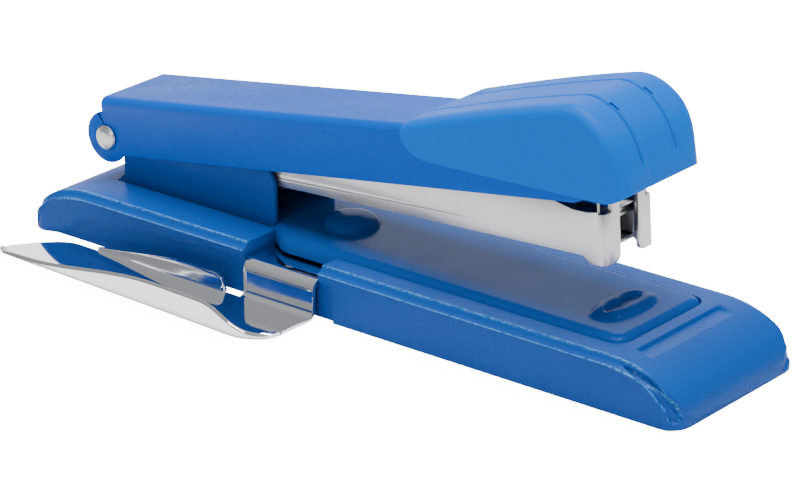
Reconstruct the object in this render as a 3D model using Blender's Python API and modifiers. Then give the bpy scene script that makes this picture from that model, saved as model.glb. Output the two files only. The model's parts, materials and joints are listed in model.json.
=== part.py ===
"""A desk stapler with a staple remover on its side.

The origin is the middle of the foot pad's underside. +X points to the nose, +Z up.
Everything that turns does so about the pivot rivet, whose axis runs along Y.
Arm and magazine pieces are drawn in the frame of their own axis empty, which sits
on the rivet and is tilted nose up: u along the piece, v square to it.
"""
import math

import bmesh
import bpy
from mathutils import Vector

MM = 0.001

# Overall layout
REACH = 126.3 * MM              # rivet to the magazine's front face
REAR_MARGIN = 13.6 * MM         # base's rear end to the rivet
FRONT_MARGIN = 25.3 * MM        # magazine's front face to the base's front end
BASE_WIDTH = 40.0 * MM
BASE_HEIGHT = 11.4 * MM
PIVOT_HEIGHT = 20.6 * MM
MAGAZINE_TILT = math.radians(3.2)
ARM_TILT = math.radians(8.65)

# Sheet thicknesses and fits
FRAME_SHEET = 1.0 * MM
CHANNEL_SHEET = 0.8 * MM
ARM_SHEET = 0.75 * MM
SPRING_SHEET = 0.5 * MM
SEAT_GAP = 0.3 * MM             # between pieces that rest on each other
RUNNING_GAP = 0.4 * MM          # between channels that turn in each other
BORE_GAP = 0.12 * MM            # radial, round pieces in their holes

# Staples
STAPLE_WIDTH = 12.7 * MM
STAPLE_HEIGHT = 6.3 * MM
STAPLE_WIRE = 0.6 * MM
STRIP_LENGTH = 50.0 * MM

# Base shell
SHELL_WALL = 1.8 * MM
SHELL_LIFT = 0.4 * MM           # shell's rim above the table
NOSE_ROUND = 16.5 * MM
TAIL_ROUND = 16.0 * MM
BASE_CORNER = 4.6 * MM
REAR_CORNER = 3.2 * MM
BASE_EDGE = 2.2 * MM
END_FACE = 1.6 * MM             # upright part of each end
SHELL_FLOOR = 6.6 * MM          # underside of the floor below the frame
RIB = 1.6 * MM
PAD_THICKNESS = 2.5 * MM
END_BLOCK = 9.0 * MM            # base's ends to the hollow above the pad
SCREW_FROM_PIVOT = 26.0 * MM
SCREW_FROM_NOSE = 30.0 * MM
RIB_FROM_SCREW = 8.0 * MM

# Steel frame
PLATE_MARGIN = 4.45 * MM        # plate's sides past the ears' outer faces
PLATE_RISE = 0.4 * MM           # plate above the shell's top
PLATE_FRONT = 8.0 * MM          # magazine's front face to the plate's front edge
PLATE_CORNER = 3.2 * MM
PLATE_RIM = 2.5 * MM
SHOULDER_START = 53.0 * MM      # rivet to where the plate starts to widen
SHOULDER_LENGTH = 9.0 * MM
FRAME_GAP = 0.4 * MM            # frame to the shell's pocket
DOME_REACH = 57.7 * MM
DOME_RADIUS = 5.5 * MM
DOME_HEIGHT = 2.6 * MM
DOME_CUT = -0.15                # share of a cushion's height kept below its middle
ANVIL_HALF_X = 4.4 * MM
ANVIL_HALF_Y = STAPLE_WIDTH / 2 + 2.45 * MM
ANVIL_HEIGHT = 1.2 * MM
EAR_BACK = 3.7 * MM             # rivet to the ears' rear edge
EAR_LENGTH = 45.3 * MM          # rivet to the ears' front edge
EAR_RISE = 3.9 * MM             # ears' top edge above the rivet
EAR_LOBE = 4.3 * MM
EAR_ROUND = 5.0 * MM
BOSS_RADIUS = 3.0 * MM

# Rivets and screws
SLEEVE_WALL = 0.9 * MM
PIVOT_RADIUS = 1.6 * MM
PIVOT_HEAD = 2.7 * MM
PIVOT_HEAD_HEIGHT = 0.9 * MM
RIVET_RADIUS = 1.0 * MM
RIVET_HEAD = 1.7 * MM
RIVET_HEAD_HEIGHT = 0.6 * MM
RIVET_SPREAD = 3.5 * MM
SCREW_RADIUS = 1.4 * MM
SCREW_HEAD = 2.7 * MM
SCREW_HEAD_HEIGHT = 1.8 * MM

# Magazine, in its own frame
MAGAZINE_BOTTOM = -3.3 * MM
MAGAZINE_TOP = 6.7 * MM
NOSE_DROP = 1.4 * MM            # front flanges below the channel
NOSE_LENGTH = 5.2 * MM
NOSE_DIP = 1.3 * MM             # channel's top edge falls this much at the nose
FLANGE_TOP = 11.5 * MM
FLANGE_BEND = 1.5 * MM
FLANGE_SLOT = 2.9 * MM          # half the slot between the flanges
FLANGE_NECK = 5.2 * MM
RAIL_START = 8.0 * MM
NOSE_WINDOW = 2.4 * MM          # front face to rail and staples, with the blade between
ROD_RADIUS = 0.7 * MM
ROD_HEIGHT = 5.3 * MM
FOLLOWER_LENGTH = 13.5 * MM
FOLLOWER_TOP = 6.5 * MM
ANCHOR_LENGTH = 3.0 * MM
COIL_RADIUS = 1.3 * MM
COIL_WIRE = 0.22 * MM
COIL_TURNS = 13

# Arm, in its own frame
ARM_TOP = 8.46 * MM
ARM_DEPTH = 12.2 * MM
ARM_BACK = 0.3 * MM
ARM_LOBE = 5.47 * MM
ARM_BEND = 1.8 * MM
ARM_NOSE = 2.2 * MM             # arm's front end past the magazine's front face
BLADE_SET_BACK = 1.3 * MM       # blade's middle behind the magazine's front face
BLADE_SHEET = 0.6 * MM
BLADE_FLANGE = 13.0 * MM
SPRING_HALF = 7.5 * MM
SPRING_ROOT = 104.0 * MM
SPRING_BEND = 92.0 * MM
SPRING_TIP = 50.0 * MM

# Lift spring, distances ahead of the pivot
LIFT_RIVET = 14.0 * MM
LIFT_FOOT = 8.0 * MM
LIFT_BEND = 20.0 * MM
LIFT_END = 41.0 * MM
LIFT_HALF = 5.0 * MM

# Cap, in the arm's frame
CAP_LENGTH = 53.0 * MM
CAP_NOSE = 8.7 * MM             # cap's front past the magazine's front face
CAP_OVERHANG = 3.0 * MM         # cap's side beyond the arm's side
CAP_CREST = 15.9 * MM
CAP_REAR_TOP = 9.7 * MM
CAP_WALL = 1.7 * MM
CAP_EDGE = 2.6 * MM
CAP_FRONT_ROUND = 11.6 * MM
CAP_BOTTOM_REAR = 1.8 * MM
CAP_BOTTOM_FRONT = -2.3 * MM

# Staple remover
LEAF_SHEET = 0.7 * MM
LEAF_HEIGHT = 0.9 * MM
LEAF_TIP = -8.6 * MM            # tip behind the rivet
CLIP_START = 46.5 * MM          # rivet to the clip's rear edge
CLIP_LENGTH = 18.8 * MM
LEAF_INNER = 2.2 * MM           # floor's inner edge outside the base's side
LEAF_OUTER = 14.2 * MM
LEAF_FLARE = 3.0 * MM
LEAF_TAPER = 11.0 * MM
OUTER_WALL = 4.6 * MM
INNER_WALL = 3.4 * MM
CLIP_DEPTH = 8.45 * MM          # height of the clip's flat run under the plate
CLIP_BEND = 2.2 * MM

# Derived places
BASE_LENGTH = REAR_MARGIN + REACH + FRONT_MARGIN
REAR_X = -BASE_LENGTH / 2
FRONT_X = BASE_LENGTH / 2
PIVOT_X = REAR_X + REAR_MARGIN
PLATE_TOP = BASE_HEIGHT + PLATE_RISE
RIM_BOTTOM = PLATE_TOP - PLATE_RIM
POCKET_FLOOR = RIM_BOTTOM - SEAT_GAP
PLATE_FRONT_X = PIVOT_X + REACH + PLATE_FRONT
ANVIL_X = PIVOT_X + REACH - BLADE_SET_BACK
MAGAZINE_INNER = STAPLE_WIDTH / 2 + 0.6 * MM
MAGAZINE_OUTER = MAGAZINE_INNER + CHANNEL_SHEET
EAR_INNER = MAGAZINE_OUTER + RUNNING_GAP
EAR_OUTER = EAR_INNER + FRAME_SHEET
ARM_INNER = EAR_OUTER + SEAT_GAP
PLATE_HALF = EAR_OUTER + PLATE_MARGIN
ARM_OUTER = ARM_INNER + ARM_SHEET
CAP_HALF = ARM_OUTER + CAP_OVERHANG
RAIL_END = REACH - NOSE_WINDOW
STAPLE_BASE = MAGAZINE_BOTTOM + CHANNEL_SHEET + SEAT_GAP
STAPLE_CROWN = STAPLE_BASE + STAPLE_HEIGHT
RAIL_TOP = STAPLE_CROWN - STAPLE_WIRE - SEAT_GAP
STRIP_START = RAIL_END - STRIP_LENGTH
FOLLOWER_END = STRIP_START - SEAT_GAP
WEB = ARM_TOP - ARM_SHEET
SIDE = BASE_WIDTH / 2
TOOL = 60 * MM                  # half the size of a cutter that goes right through


# ---------------------------------------------------------------- scene helpers
def clear_scene():
    for old in list(bpy.data.objects):
        bpy.data.objects.remove(old, do_unlink=True)


def new_collection(name):
    collection = bpy.data.collections.new(name)
    bpy.context.scene.collection.children.link(collection)
    return collection


def paint(name, color, roughness, metallic=0.0):
    material = bpy.data.materials.new(name)
    material.use_nodes = True
    shader = material.node_tree.nodes["Principled BSDF"]
    shader.inputs["Base Color"].default_value = (*color, 1.0)
    shader.inputs["Roughness"].default_value = roughness
    shader.inputs["Metallic"].default_value = metallic
    return material


clear_scene()
PARTS = new_collection("stapler")
CUTTERS = new_collection("cutters")
SHELL_BLUE = paint("shell_blue", (0.02, 0.10, 0.42), 0.45)
FRAME_BLUE = paint("frame_blue", (0.02, 0.12, 0.40), 0.25)
ARM_BLUE = paint("arm_blue", (0.02, 0.16, 0.50), 0.25)
CAP_BLUE = paint("cap_blue", (0.04, 0.22, 0.58), 0.40)
CHROME = paint("chrome", (0.85, 0.86, 0.88), 0.08, 1.0)
PLATED = paint("plated_steel", (0.72, 0.72, 0.72), 0.30, 1.0)
SPRING_STEEL = paint("spring_steel", (0.45, 0.46, 0.48), 0.30, 1.0)
STAPLE_STEEL = paint("staple_steel", (0.68, 0.68, 0.66), 0.25, 1.0)
RUBBER = paint("rubber", (0.03, 0.03, 0.03), 0.80)
BLACK_PLASTIC = paint("black_plastic", (0.04, 0.04, 0.04), 0.50)


def axis_empty(name, tilt):
    """An empty on the rivet's axis, nose up by tilt, that carries a turning body's pieces."""
    empty = bpy.data.objects.new(name, None)
    PARTS.objects.link(empty)
    empty.location = (PIVOT_X, 0, PIVOT_HEIGHT)
    empty.rotation_euler = (0, -tilt, 0)
    return empty


MAGAZINE_AXIS = axis_empty("magazine_axis", MAGAZINE_TILT)
ARM_AXIS = axis_empty("arm_axis", ARM_TILT)


def add_part(name, mesh, material, parent=None):
    piece = bpy.data.objects.new(name, mesh)
    PARTS.objects.link(piece)
    mesh.materials.clear()
    mesh.materials.append(material)
    mesh.shade_smooth()
    mesh.set_sharp_from_angle(angle=math.radians(35))
    piece.parent = parent
    return piece


def add_tool(name, mesh, parent=None):
    tool = bpy.data.objects.new(name, mesh)
    CUTTERS.objects.link(tool)
    tool.hide_render = True
    tool.display_type = "WIRE"
    tool.parent = parent
    return tool


def boolean(piece, tool, operation="DIFFERENCE"):
    modifier = piece.modifiers.new(tool.name, "BOOLEAN")
    modifier.object = tool
    modifier.operation = operation


# ---------------------------------------------------------------- shape helpers
def arc(centre, radius, start, end, steps=6):
    """Points along an arc in degrees, both ends included."""
    points = []
    for i in range(steps + 1):
        angle = math.radians(start + (end - start) * i / steps)
        points.append((centre[0] + radius * math.cos(angle), centre[1] + radius * math.sin(angle)))
    return points


def mirrored(half):
    """Closes an outline given for its +y half by adding the other half."""
    return half + [(x, -y) for x, y in reversed(half)]


TURNS = {
    "side": (math.pi / 2, 0, 0),              # outline in X and Z, thick along Y
    "plan": (0, 0, 0),                        # outline in X and Y, thick along Z
    "front": (math.pi / 2, 0, math.pi / 2),   # outline in Y and Z, thick along X
}


def prism(outline, low, high, plane="side"):
    """Mesh of a flat outline made thick from low to high along the plane's third axis."""
    curve = bpy.data.curves.new("outline", "CURVE")
    curve.dimensions = "2D"
    curve.fill_mode = "BOTH"
    curve.extrude = (high - low) / 2
    spline = curve.splines.new("POLY")
    spline.points.add(len(outline) - 1)
    for point, place in zip(spline.points, outline):
        point.co = (place[0], place[1], 0, 1)
    spline.use_cyclic_u = True
    holder = bpy.data.objects.new("outline", curve)
    PARTS.objects.link(holder)
    middle = (high + low) / 2
    holder.rotation_euler = TURNS[plane]
    holder.location = {"side": (0, middle, 0), "plan": (0, 0, middle), "front": (middle, 0, 0)}[plane]
    mesh = weld_curve(holder)
    return mesh


def weld_curve(holder):
    """Turns a curve object into a closed mesh in its parent's space and removes the curve."""
    graph = bpy.context.evaluated_depsgraph_get()
    mesh = bpy.data.meshes.new_from_object(holder.evaluated_get(graph))
    mesh.transform(holder.matrix_world)
    work = bmesh.new()
    work.from_mesh(mesh)
    bmesh.ops.remove_doubles(work, verts=work.verts, dist=1e-6)
    bmesh.ops.recalc_face_normals(work, faces=work.faces)
    work.to_mesh(mesh)
    work.free()
    bpy.data.objects.remove(holder, do_unlink=True)
    return mesh


def box(low, high):
    work = bmesh.new()
    bmesh.ops.create_cube(work, size=1.0)
    size = Vector(high) - Vector(low)
    middle = (Vector(high) + Vector(low)) / 2
    bmesh.ops.scale(work, vec=size, verts=work.verts)
    bmesh.ops.translate(work, vec=middle, verts=work.verts)
    return finish(work)


def rod(start, end, radius, sides=32):
    """A cylinder between two points on a line along one axis."""
    start, end = Vector(start), Vector(end)
    work = bmesh.new()
    bmesh.ops.create_cone(work, cap_ends=True, segments=sides, radius1=radius, radius2=radius,
                          depth=(end - start).length)
    turn = Vector((0, 0, 1)).rotation_difference(end - start).to_matrix()
    bmesh.ops.rotate(work, cent=(0, 0, 0), matrix=turn, verts=work.verts)
    bmesh.ops.translate(work, vec=(start + end) / 2, verts=work.verts)
    return finish(work)


def dome(centre, half_x, half_y, height, segments=32):
    """An oval cushion: a flattened ball, cut flat a little below its middle."""
    work = bmesh.new()
    bmesh.ops.create_uvsphere(work, u_segments=segments, v_segments=segments // 2, radius=1.0)
    everything = work.verts[:] + work.edges[:] + work.faces[:]
    bmesh.ops.bisect_plane(work, geom=everything, plane_co=(0, 0, DOME_CUT), plane_no=(0, 0, 1),
                           clear_inner=True)
    bmesh.ops.holes_fill(work, edges=[edge for edge in work.edges if edge.is_boundary])
    bmesh.ops.scale(work, vec=(half_x, half_y, height), verts=work.verts)
    bmesh.ops.translate(work, vec=centre, verts=work.verts)
    return finish(work)


def finish(work):
    mesh = bpy.data.meshes.new("mesh")
    bmesh.ops.recalc_face_normals(work, faces=work.faces)
    work.to_mesh(mesh)
    work.free()
    return mesh


def loft(sections):
    """Skin over rings of equal length, closed by a face at each end."""
    work = bmesh.new()
    rings = [[work.verts.new(point) for point in ring] for ring in sections]
    for near, far in zip(rings, rings[1:]):
        for i in range(len(near)):
            j = (i + 1) % len(near)
            work.faces.new((near[i], near[j], far[j], far[i]))
    work.faces.new(list(reversed(rings[0])))
    work.faces.new(rings[-1])
    return finish(work)


def hood_ring(x, bottom, top, half, edge):
    """A section across a hood: flat bottom, upright sides and rounded top corners."""
    edge = min(edge, 0.9 * half, 0.9 * (top - bottom))
    right = [(half, bottom)] + arc((half - edge, top - edge), edge, 0, 90, 4)
    left = [(-y, z) for y, z in reversed(right)]
    return [(x, y, z) for y, z in right + left]


def sheet(rows):
    """Open surface over rows of points, to be made solid with Solidify."""
    work = bmesh.new()
    grid = [[work.verts.new(point) for point in row] for row in rows]
    for near, far in zip(grid, grid[1:]):
        for i in range(len(near) - 1):
            work.faces.new((near[i], near[i + 1], far[i + 1], far[i]))
    return finish(work)


def solidify(piece, thickness):
    modifier = piece.modifiers.new("thickness", "SOLIDIFY")
    modifier.thickness = thickness
    modifier.offset = 0
    modifier.use_even_offset = True


def strip(path, half_width):
    """Rows for a flat strip that follows a path of (x, z) points."""
    return [[(x, -half_width, z), (x, half_width, z)] for x, z in path]


def turned(name, profile, material, place, axis="Z", parent=None):
    """A turned piece: profile of (radius, height) down its outer side, top to bottom."""
    mesh = bpy.data.meshes.new(name)
    points = [(radius, 0, height) for radius, height in profile]
    edges = [(i, i + 1) for i in range(len(points) - 1)]
    mesh.from_pydata(points, edges, [])
    piece = add_part(name, mesh, material, parent)
    screw = piece.modifiers.new("turn", "SCREW")
    screw.axis = "Z"
    screw.steps = 24
    screw.render_steps = 24
    screw.use_merge_vertices = True
    screw.merge_threshold = 1e-6
    piece.location = place
    if axis == "Y":
        piece.rotation_euler = (math.pi / 2, 0, 0)
    return piece


def rivet_profile(radius, head, height, low, high):
    """Domed head above high, shank, and a second domed head below low."""
    top = [(head * math.sin(math.radians(a)), high + height * math.cos(math.radians(a)))
           for a in (0, 30, 60, 80)]
    upper = top + [(head, high), (radius, high)]
    lower = [(radius, low), (head, low)]
    lower += [(head * math.sin(math.radians(a)), low - height * math.cos(math.radians(a)))
              for a in (80, 60, 30, 0)]
    return upper + lower


def rivet(name, material, place, low, high, parent=None):
    profile = rivet_profile(RIVET_RADIUS, RIVET_HEAD, RIVET_HEAD_HEIGHT, low, high)
    return turned(name, profile, material, place, parent=parent)


def bore(piece, name, start, end, radius, parent=None):
    boolean(piece, add_tool(name, rod(start, end, radius), parent))


# ---------------------------------------------------------------- base
def end_fall(distance, length):
    """Height lost by the shell's top at this distance past the start of an end's rounding."""
    share = min(max(distance / length, 0.0), 1.0)
    drop = 1 - math.sqrt(1 - share ** 2)
    return (BASE_HEIGHT - END_FACE) * drop


def shell_top(x):
    front = end_fall(x - (FRONT_X - NOSE_ROUND), NOSE_ROUND)
    rear = end_fall((REAR_X + TAIL_ROUND) - x, TAIL_ROUND)
    return BASE_HEIGHT - front - rear


def corner_inset(x):
    """How far the side has come in at x because of the rounded corners in plan."""
    corner = BASE_CORNER if x > 0 else REAR_CORNER
    past = abs(x) - (FRONT_X - corner)
    if past <= 0:
        return 0.0
    return corner - math.sqrt(max(corner ** 2 - past ** 2, 0.0))


def shell_stations():
    """Places along the shell, closer together towards the two ends."""
    steps = 12
    front = [FRONT_X - NOSE_ROUND + NOSE_ROUND * math.sin(math.pi / 2 * i / steps) for i in range(steps + 1)]
    rear = [REAR_X + TAIL_ROUND - TAIL_ROUND * math.sin(math.pi / 2 * i / steps) for i in range(steps + 1)]
    return list(reversed(rear)) + front


def shell_outline(clearance):
    """The underside's rounded rectangle, brought in by clearance."""
    x, y = FRONT_X - clearance, SIDE - clearance
    outline = []
    for turn, (sx, sy) in enumerate(((1, 1), (-1, 1), (-1, -1), (1, -1))):
        radius = (BASE_CORNER if sx > 0 else REAR_CORNER) - clearance
        centre = (sx * (x - radius), sy * (y - radius))
        outline += arc(centre, radius, 90 * turn, 90 * turn + 90, 4)
    return outline


def frame_outline(clearance):
    """Outline of the steel plate and its narrow tail, grown by clearance."""
    front, half = PLATE_FRONT_X + clearance, PLATE_HALF + clearance
    tail = EAR_OUTER + clearance
    corner = PLATE_CORNER + clearance
    wide = PIVOT_X + SHOULDER_START - clearance / 2
    rear = PIVOT_X + EAR_BACK - 1.5 * MM - clearance
    upper = arc((front - corner, half - corner), corner, 0, 90, 5)
    for i in range(9):
        share = i / 8
        drop = (half - tail) * (1 - math.cos(math.pi * share)) / 2
        upper.append((wide - SHOULDER_LENGTH * share, half - drop))
    upper.append((rear, tail))
    return mirrored(upper)


def screw_places():
    front = PIVOT_X + REACH - SCREW_FROM_NOSE
    rear = PIVOT_X + SCREW_FROM_PIVOT
    return {"frame_screw_front": front, "frame_screw_rear": rear}


def rib_places():
    """Ends of the hollow and the ribs across it, which keep clear of both screws."""
    rear = PIVOT_X + SCREW_FROM_PIVOT + RIB_FROM_SCREW
    front = PIVOT_X + REACH - SCREW_FROM_NOSE + RIB_FROM_SCREW
    return [REAR_X + END_BLOCK, rear, (rear + front) / 2 - RIB_FROM_SCREW, front, FRONT_X - END_BLOCK]


def base_shell():
    rings = [hood_ring(x, SHELL_LIFT, shell_top(x), SIDE - corner_inset(x), BASE_EDGE)
             for x in shell_stations()]
    shell = add_part("base_shell", loft(rings), SHELL_BLUE)
    pad_room = prism(shell_outline(SHELL_WALL), -TOOL, PAD_THICKNESS + SEAT_GAP, "plan")
    boolean(shell, add_tool("pad_room", pad_room))
    half = SIDE - SHELL_WALL
    walls = rib_places()
    for i, (rear, front) in enumerate(zip(walls, walls[1:])):
        low = (rear + RIB / 2, -half, PAD_THICKNESS - 0.5 * MM)
        high = (front - RIB / 2, half, SHELL_FLOOR)
        boolean(shell, add_tool(f"bay_{i}", box(low, high)))
    boolean(shell, add_tool("pocket", prism(frame_outline(FRAME_GAP), POCKET_FLOOR, TOOL, "plan")))
    clip_low = PIVOT_X + CLIP_START - FRAME_GAP
    notch = box((clip_low, -TOOL, CLIP_DEPTH - LEAF_SHEET / 2 - SEAT_GAP),
                (clip_low + CLIP_LENGTH + 2 * FRAME_GAP, -EAR_INNER, TOOL))
    boolean(shell, add_tool("clip_notch", notch))
    step = box((clip_low, -TOOL, CLIP_DEPTH - CLIP_BEND), (clip_low + CLIP_LENGTH + 2 * FRAME_GAP,
                                                         -SIDE + CLIP_BEND * 0.65, TOOL))
    boolean(shell, add_tool("clip_step", step))
    for name, x in screw_places().items():
        bore(shell, name + "_way", (x, 0, 0), (x, 0, TOOL), SCREW_RADIUS + BORE_GAP)
    return shell


def frame_screw(name, x):
    under = SHELL_FLOOR - SEAT_GAP
    profile = [(0, PLATE_TOP - FRAME_SHEET - 0.2 * MM), (SCREW_RADIUS, PLATE_TOP - FRAME_SHEET - 0.2 * MM),
               (SCREW_RADIUS, under), (SCREW_HEAD, under), (SCREW_HEAD, under - SCREW_HEAD_HEIGHT / 2)]
    profile += [(SCREW_HEAD * 0.8, under - SCREW_HEAD_HEIGHT), (0, under - SCREW_HEAD_HEIGHT)]
    turned(name, profile, PLATED, (x, 0, 0))


def foot_pad():
    outline = shell_outline(SHELL_WALL + SEAT_GAP)
    pad = add_part("foot_pad", prism(outline, 0, PAD_THICKNESS, "plan"), RUBBER)
    bevel = pad.modifiers.new("edges", "BEVEL")
    bevel.width = 0.5 * MM
    bevel.segments = 2
    bevel.limit_method = "ANGLE"
    bevel.angle_limit = math.radians(60)
    return pad


def ear_outline():
    bottom = PLATE_TOP - FRAME_SHEET / 2
    front = PIVOT_X + EAR_LENGTH
    top = PIVOT_HEIGHT + EAR_RISE
    outline = [(PIVOT_X + EAR_BACK, bottom), (front, bottom)]
    outline += arc((front - EAR_ROUND, top - EAR_ROUND), EAR_ROUND, 0, 90, 5)
    lower = -math.degrees(math.acos(EAR_BACK / EAR_LOBE))
    outline += arc((PIVOT_X, PIVOT_HEIGHT), EAR_LOBE, 90, 360 + lower, 16)
    return outline


def base_frame():
    frame = add_part("base_frame", prism(frame_outline(0), RIM_BOTTOM, PLATE_TOP, "plan"), FRAME_BLUE)
    hollow = prism(frame_outline(-FRAME_SHEET), -TOOL, PLATE_TOP - FRAME_SHEET, "plan")
    boolean(frame, add_tool("rim_hollow", hollow))
    for side in (-1, 1):
        low, high = sorted((side * EAR_INNER, side * EAR_OUTER))
        boolean(frame, add_tool(f"ear_{side}", prism(ear_outline(), low, high)), "UNION")
    boolean(frame, add_tool("dome", dome((PIVOT_X + DOME_REACH, 0, PLATE_TOP - 0.4 * MM), DOME_RADIUS,
                                         DOME_RADIUS, DOME_HEIGHT, 28)), "UNION")
    anvil = dome((ANVIL_X, 0, PLATE_TOP - 0.3 * MM), ANVIL_HALF_X, ANVIL_HALF_Y, ANVIL_HEIGHT + 0.3 * MM, 28)
    boolean(frame, add_tool("anvil", anvil), "UNION")
    for side in (-1, 1):
        centre = (ANVIL_X, side * STAPLE_WIDTH / 4, PLATE_TOP + ANVIL_HEIGHT + 0.2 * MM)
        pocket = dome(centre, 1.5 * MM, STAPLE_WIDTH / 4 + 0.5 * MM, 0.9 * MM, 20)
        boolean(frame, add_tool(f"anvil_pocket_{side}", pocket))
    for name, x in screw_places().items():
        boss = rod((x, 0, RIM_BOTTOM), (x, 0, PLATE_TOP - FRAME_SHEET / 2), BOSS_RADIUS)
        boolean(frame, add_tool(name + "_boss", boss), "UNION")
        bore(frame, name + "_thread", (x, 0, 0), (x, 0, PLATE_TOP - FRAME_SHEET), SCREW_RADIUS + BORE_GAP)
    bore(frame, "ear_bore", (PIVOT_X, -TOOL, PIVOT_HEIGHT), (PIVOT_X, TOOL, PIVOT_HEIGHT),
         PIVOT_RADIUS + BORE_GAP)
    x = PIVOT_X + LIFT_RIVET
    bore(frame, "lift_bore", (x, 0, 0), (x, 0, TOOL), RIVET_RADIUS + BORE_GAP)
    return frame


def magazine_underside(x):
    """Height of the channel's bottom edge at rest, at this distance from the rivet."""
    return PIVOT_HEIGHT + x * math.tan(MAGAZINE_TILT) + MAGAZINE_BOTTOM / math.cos(MAGAZINE_TILT)


def lift_spring():
    low = PLATE_TOP + SEAT_GAP + SPRING_SHEET / 2
    high = magazine_underside(LIFT_END) - SEAT_GAP - SPRING_SHEET
    path = [(PIVOT_X + LIFT_FOOT, low)]
    for i in range(9):
        share = i / 8
        x = PIVOT_X + LIFT_BEND + (LIFT_END - LIFT_BEND) * share
        path.append((x, low + (high - low) * math.sin(math.pi / 2 * share) ** 1.5))
    path.append((PIVOT_X + LIFT_END + 2.5 * MM, high - 1.0 * MM))
    spring = add_part("lift_spring", sheet(strip(path, LIFT_HALF)), SPRING_STEEL)
    solidify(spring, SPRING_SHEET)
    x = PIVOT_X + LIFT_RIVET
    bore(spring, "lift_spring_bore", (x, 0, 0), (x, 0, TOOL), RIVET_RADIUS + BORE_GAP)
    rivet("lift_spring_rivet", PLATED, (x, 0, 0), PLATE_TOP - FRAME_SHEET - BORE_GAP,
          low + SPRING_SHEET / 2 + BORE_GAP)


def pivot_rivet():
    half = ARM_OUTER + 2 * BORE_GAP
    profile = rivet_profile(PIVOT_RADIUS, PIVOT_HEAD, PIVOT_HEAD_HEIGHT, -half, half)
    turned("pivot_rivet", profile, PLATED, (PIVOT_X, 0, PIVOT_HEIGHT), axis="Y")


# ---------------------------------------------------------------- staple remover
def ease(value, start, end):
    """Smooth step from 0 at start to 1 at end."""
    share = min(max((value - start) / (end - start), 0.0), 1.0)
    return share * share * (3 - 2 * share)


def remover_edges(x):
    """Inner and outer edge of the remover's floor at x, as distances outside the base's side."""
    tip = PIVOT_X + LEAF_TIP
    front = PIVOT_X + CLIP_START + CLIP_LENGTH
    share = (x - tip) / (front - tip)
    outer = LEAF_OUTER + LEAF_FLARE * share
    middle = LEAF_OUTER - 2.5 * MM
    lead = min((x - tip) / LEAF_TAPER, 1.0)
    inner = middle - (middle - LEAF_INNER) * math.sin(math.pi / 2 * lead)
    nib = min((x - tip) / (3 * MM), 1.0)
    outer = middle + 0.6 * MM + (outer - middle - 0.6 * MM) * math.sqrt(nib * (2 - nib))
    tail = max((x - (front - 8 * MM)) / (8 * MM), 0.0)
    outer -= 6.5 * MM * (1 - math.sqrt(max(1 - tail * tail, 0.0)))
    return inner, outer


def clip_path():
    """Clip's section from under the plate, over the shell's edge and down to the floor."""
    reach = SIDE + SEAT_GAP + LEAF_SHEET / 2
    radius = CLIP_BEND
    path = [(EAR_OUTER + 1.2 * MM, CLIP_DEPTH)]
    path += arc((reach - radius, CLIP_DEPTH - radius), radius, 90, 0, 5)
    foot = LEAF_INNER + SIDE - reach
    path += arc((reach + foot, LEAF_HEIGHT + foot), foot, 180, 255, 4)
    return path


def staple_remover():
    """Floor, outer wall, inner wall and clip: strips of faces that share the floor's inner edge."""
    tip = PIVOT_X + LEAF_TIP
    clip_rear = PIVOT_X + CLIP_START
    front = clip_rear + CLIP_LENGTH
    wall_end = clip_rear - 3.4 * MM
    wall_start = wall_end - 36 * MM
    stations = [tip + LEAF_TAPER * share for share in (0.02, 0.1, 0.2, 0.35, 0.5, 0.65, 0.8, 1.0)]
    stations += [tip + LEAF_TAPER + (wall_start - tip - LEAF_TAPER) * 0.5]
    stations += [wall_start + (wall_end - wall_start) * i / 8 for i in range(8)]
    stations += [wall_end - 0.8 * MM, wall_end, clip_rear]
    stations += [clip_rear + (CLIP_LENGTH - 8 * MM) * i / 3 for i in range(1, 4)]
    stations += [front - 8 * MM + 8 * MM * math.sin(math.pi / 2 * i / 5) for i in range(1, 6)]
    work = bmesh.new()
    rows = []
    for x in stations:
        inner, outer = remover_edges(x)
        rise = OUTER_WALL * ease(x, tip + 6 * MM, clip_rear - 8 * MM)
        rise *= 1 - ease(x, clip_rear + 4 * MM, front)
        floor = [(inner + (outer - inner) * share, LEAF_HEIGHT) for share in (0, 0.3, 0.6, 0.88)]
        bend = [(outer, LEAF_HEIGHT + 0.35 * MM), (outer + 0.5 * MM, LEAF_HEIGHT + 0.9 * MM + rise * 0.4),
                (outer + 0.9 * MM, LEAF_HEIGHT + 1.0 * MM + rise)]
        rows.append([work.verts.new((x, -SIDE - y, z)) for y, z in floor + bend])
    join_rows(work, rows)
    inner_wall = []
    for x, row in zip(stations, rows):
        if wall_start - 1e-6 <= x <= wall_end + 1e-6:
            end = max((x - (wall_end - 3 * MM)) / (3 * MM), 0.0)
            rise = INNER_WALL * ease(x, wall_start - 6 * MM, wall_end - 8 * MM)
            rise = 0.6 * MM + rise * math.sqrt(max(1 - end * end, 0.0))
            y = row[0].co.y
            inner_wall.append([work.verts.new((x, y + 0.45 * MM, LEAF_HEIGHT + rise)),
                               work.verts.new((x, y + 0.3 * MM, LEAF_HEIGHT + 0.35 * rise)), row[0]])
    join_rows(work, inner_wall)
    clip = []
    for x, row in zip(stations, rows):
        if x >= clip_rear - 1e-6:
            clip.append([work.verts.new((x, -y, z)) for y, z in clip_path()] + [row[0]])
    join_rows(work, clip)
    remover = add_part("staple_remover", finish(work), CHROME)
    solidify(remover, LEAF_SHEET)
    return remover


def join_rows(work, rows):
    for near, far in zip(rows, rows[1:]):
        for i in range(len(near) - 1):
            work.faces.new((near[i], near[i + 1], far[i + 1], far[i]))


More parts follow.
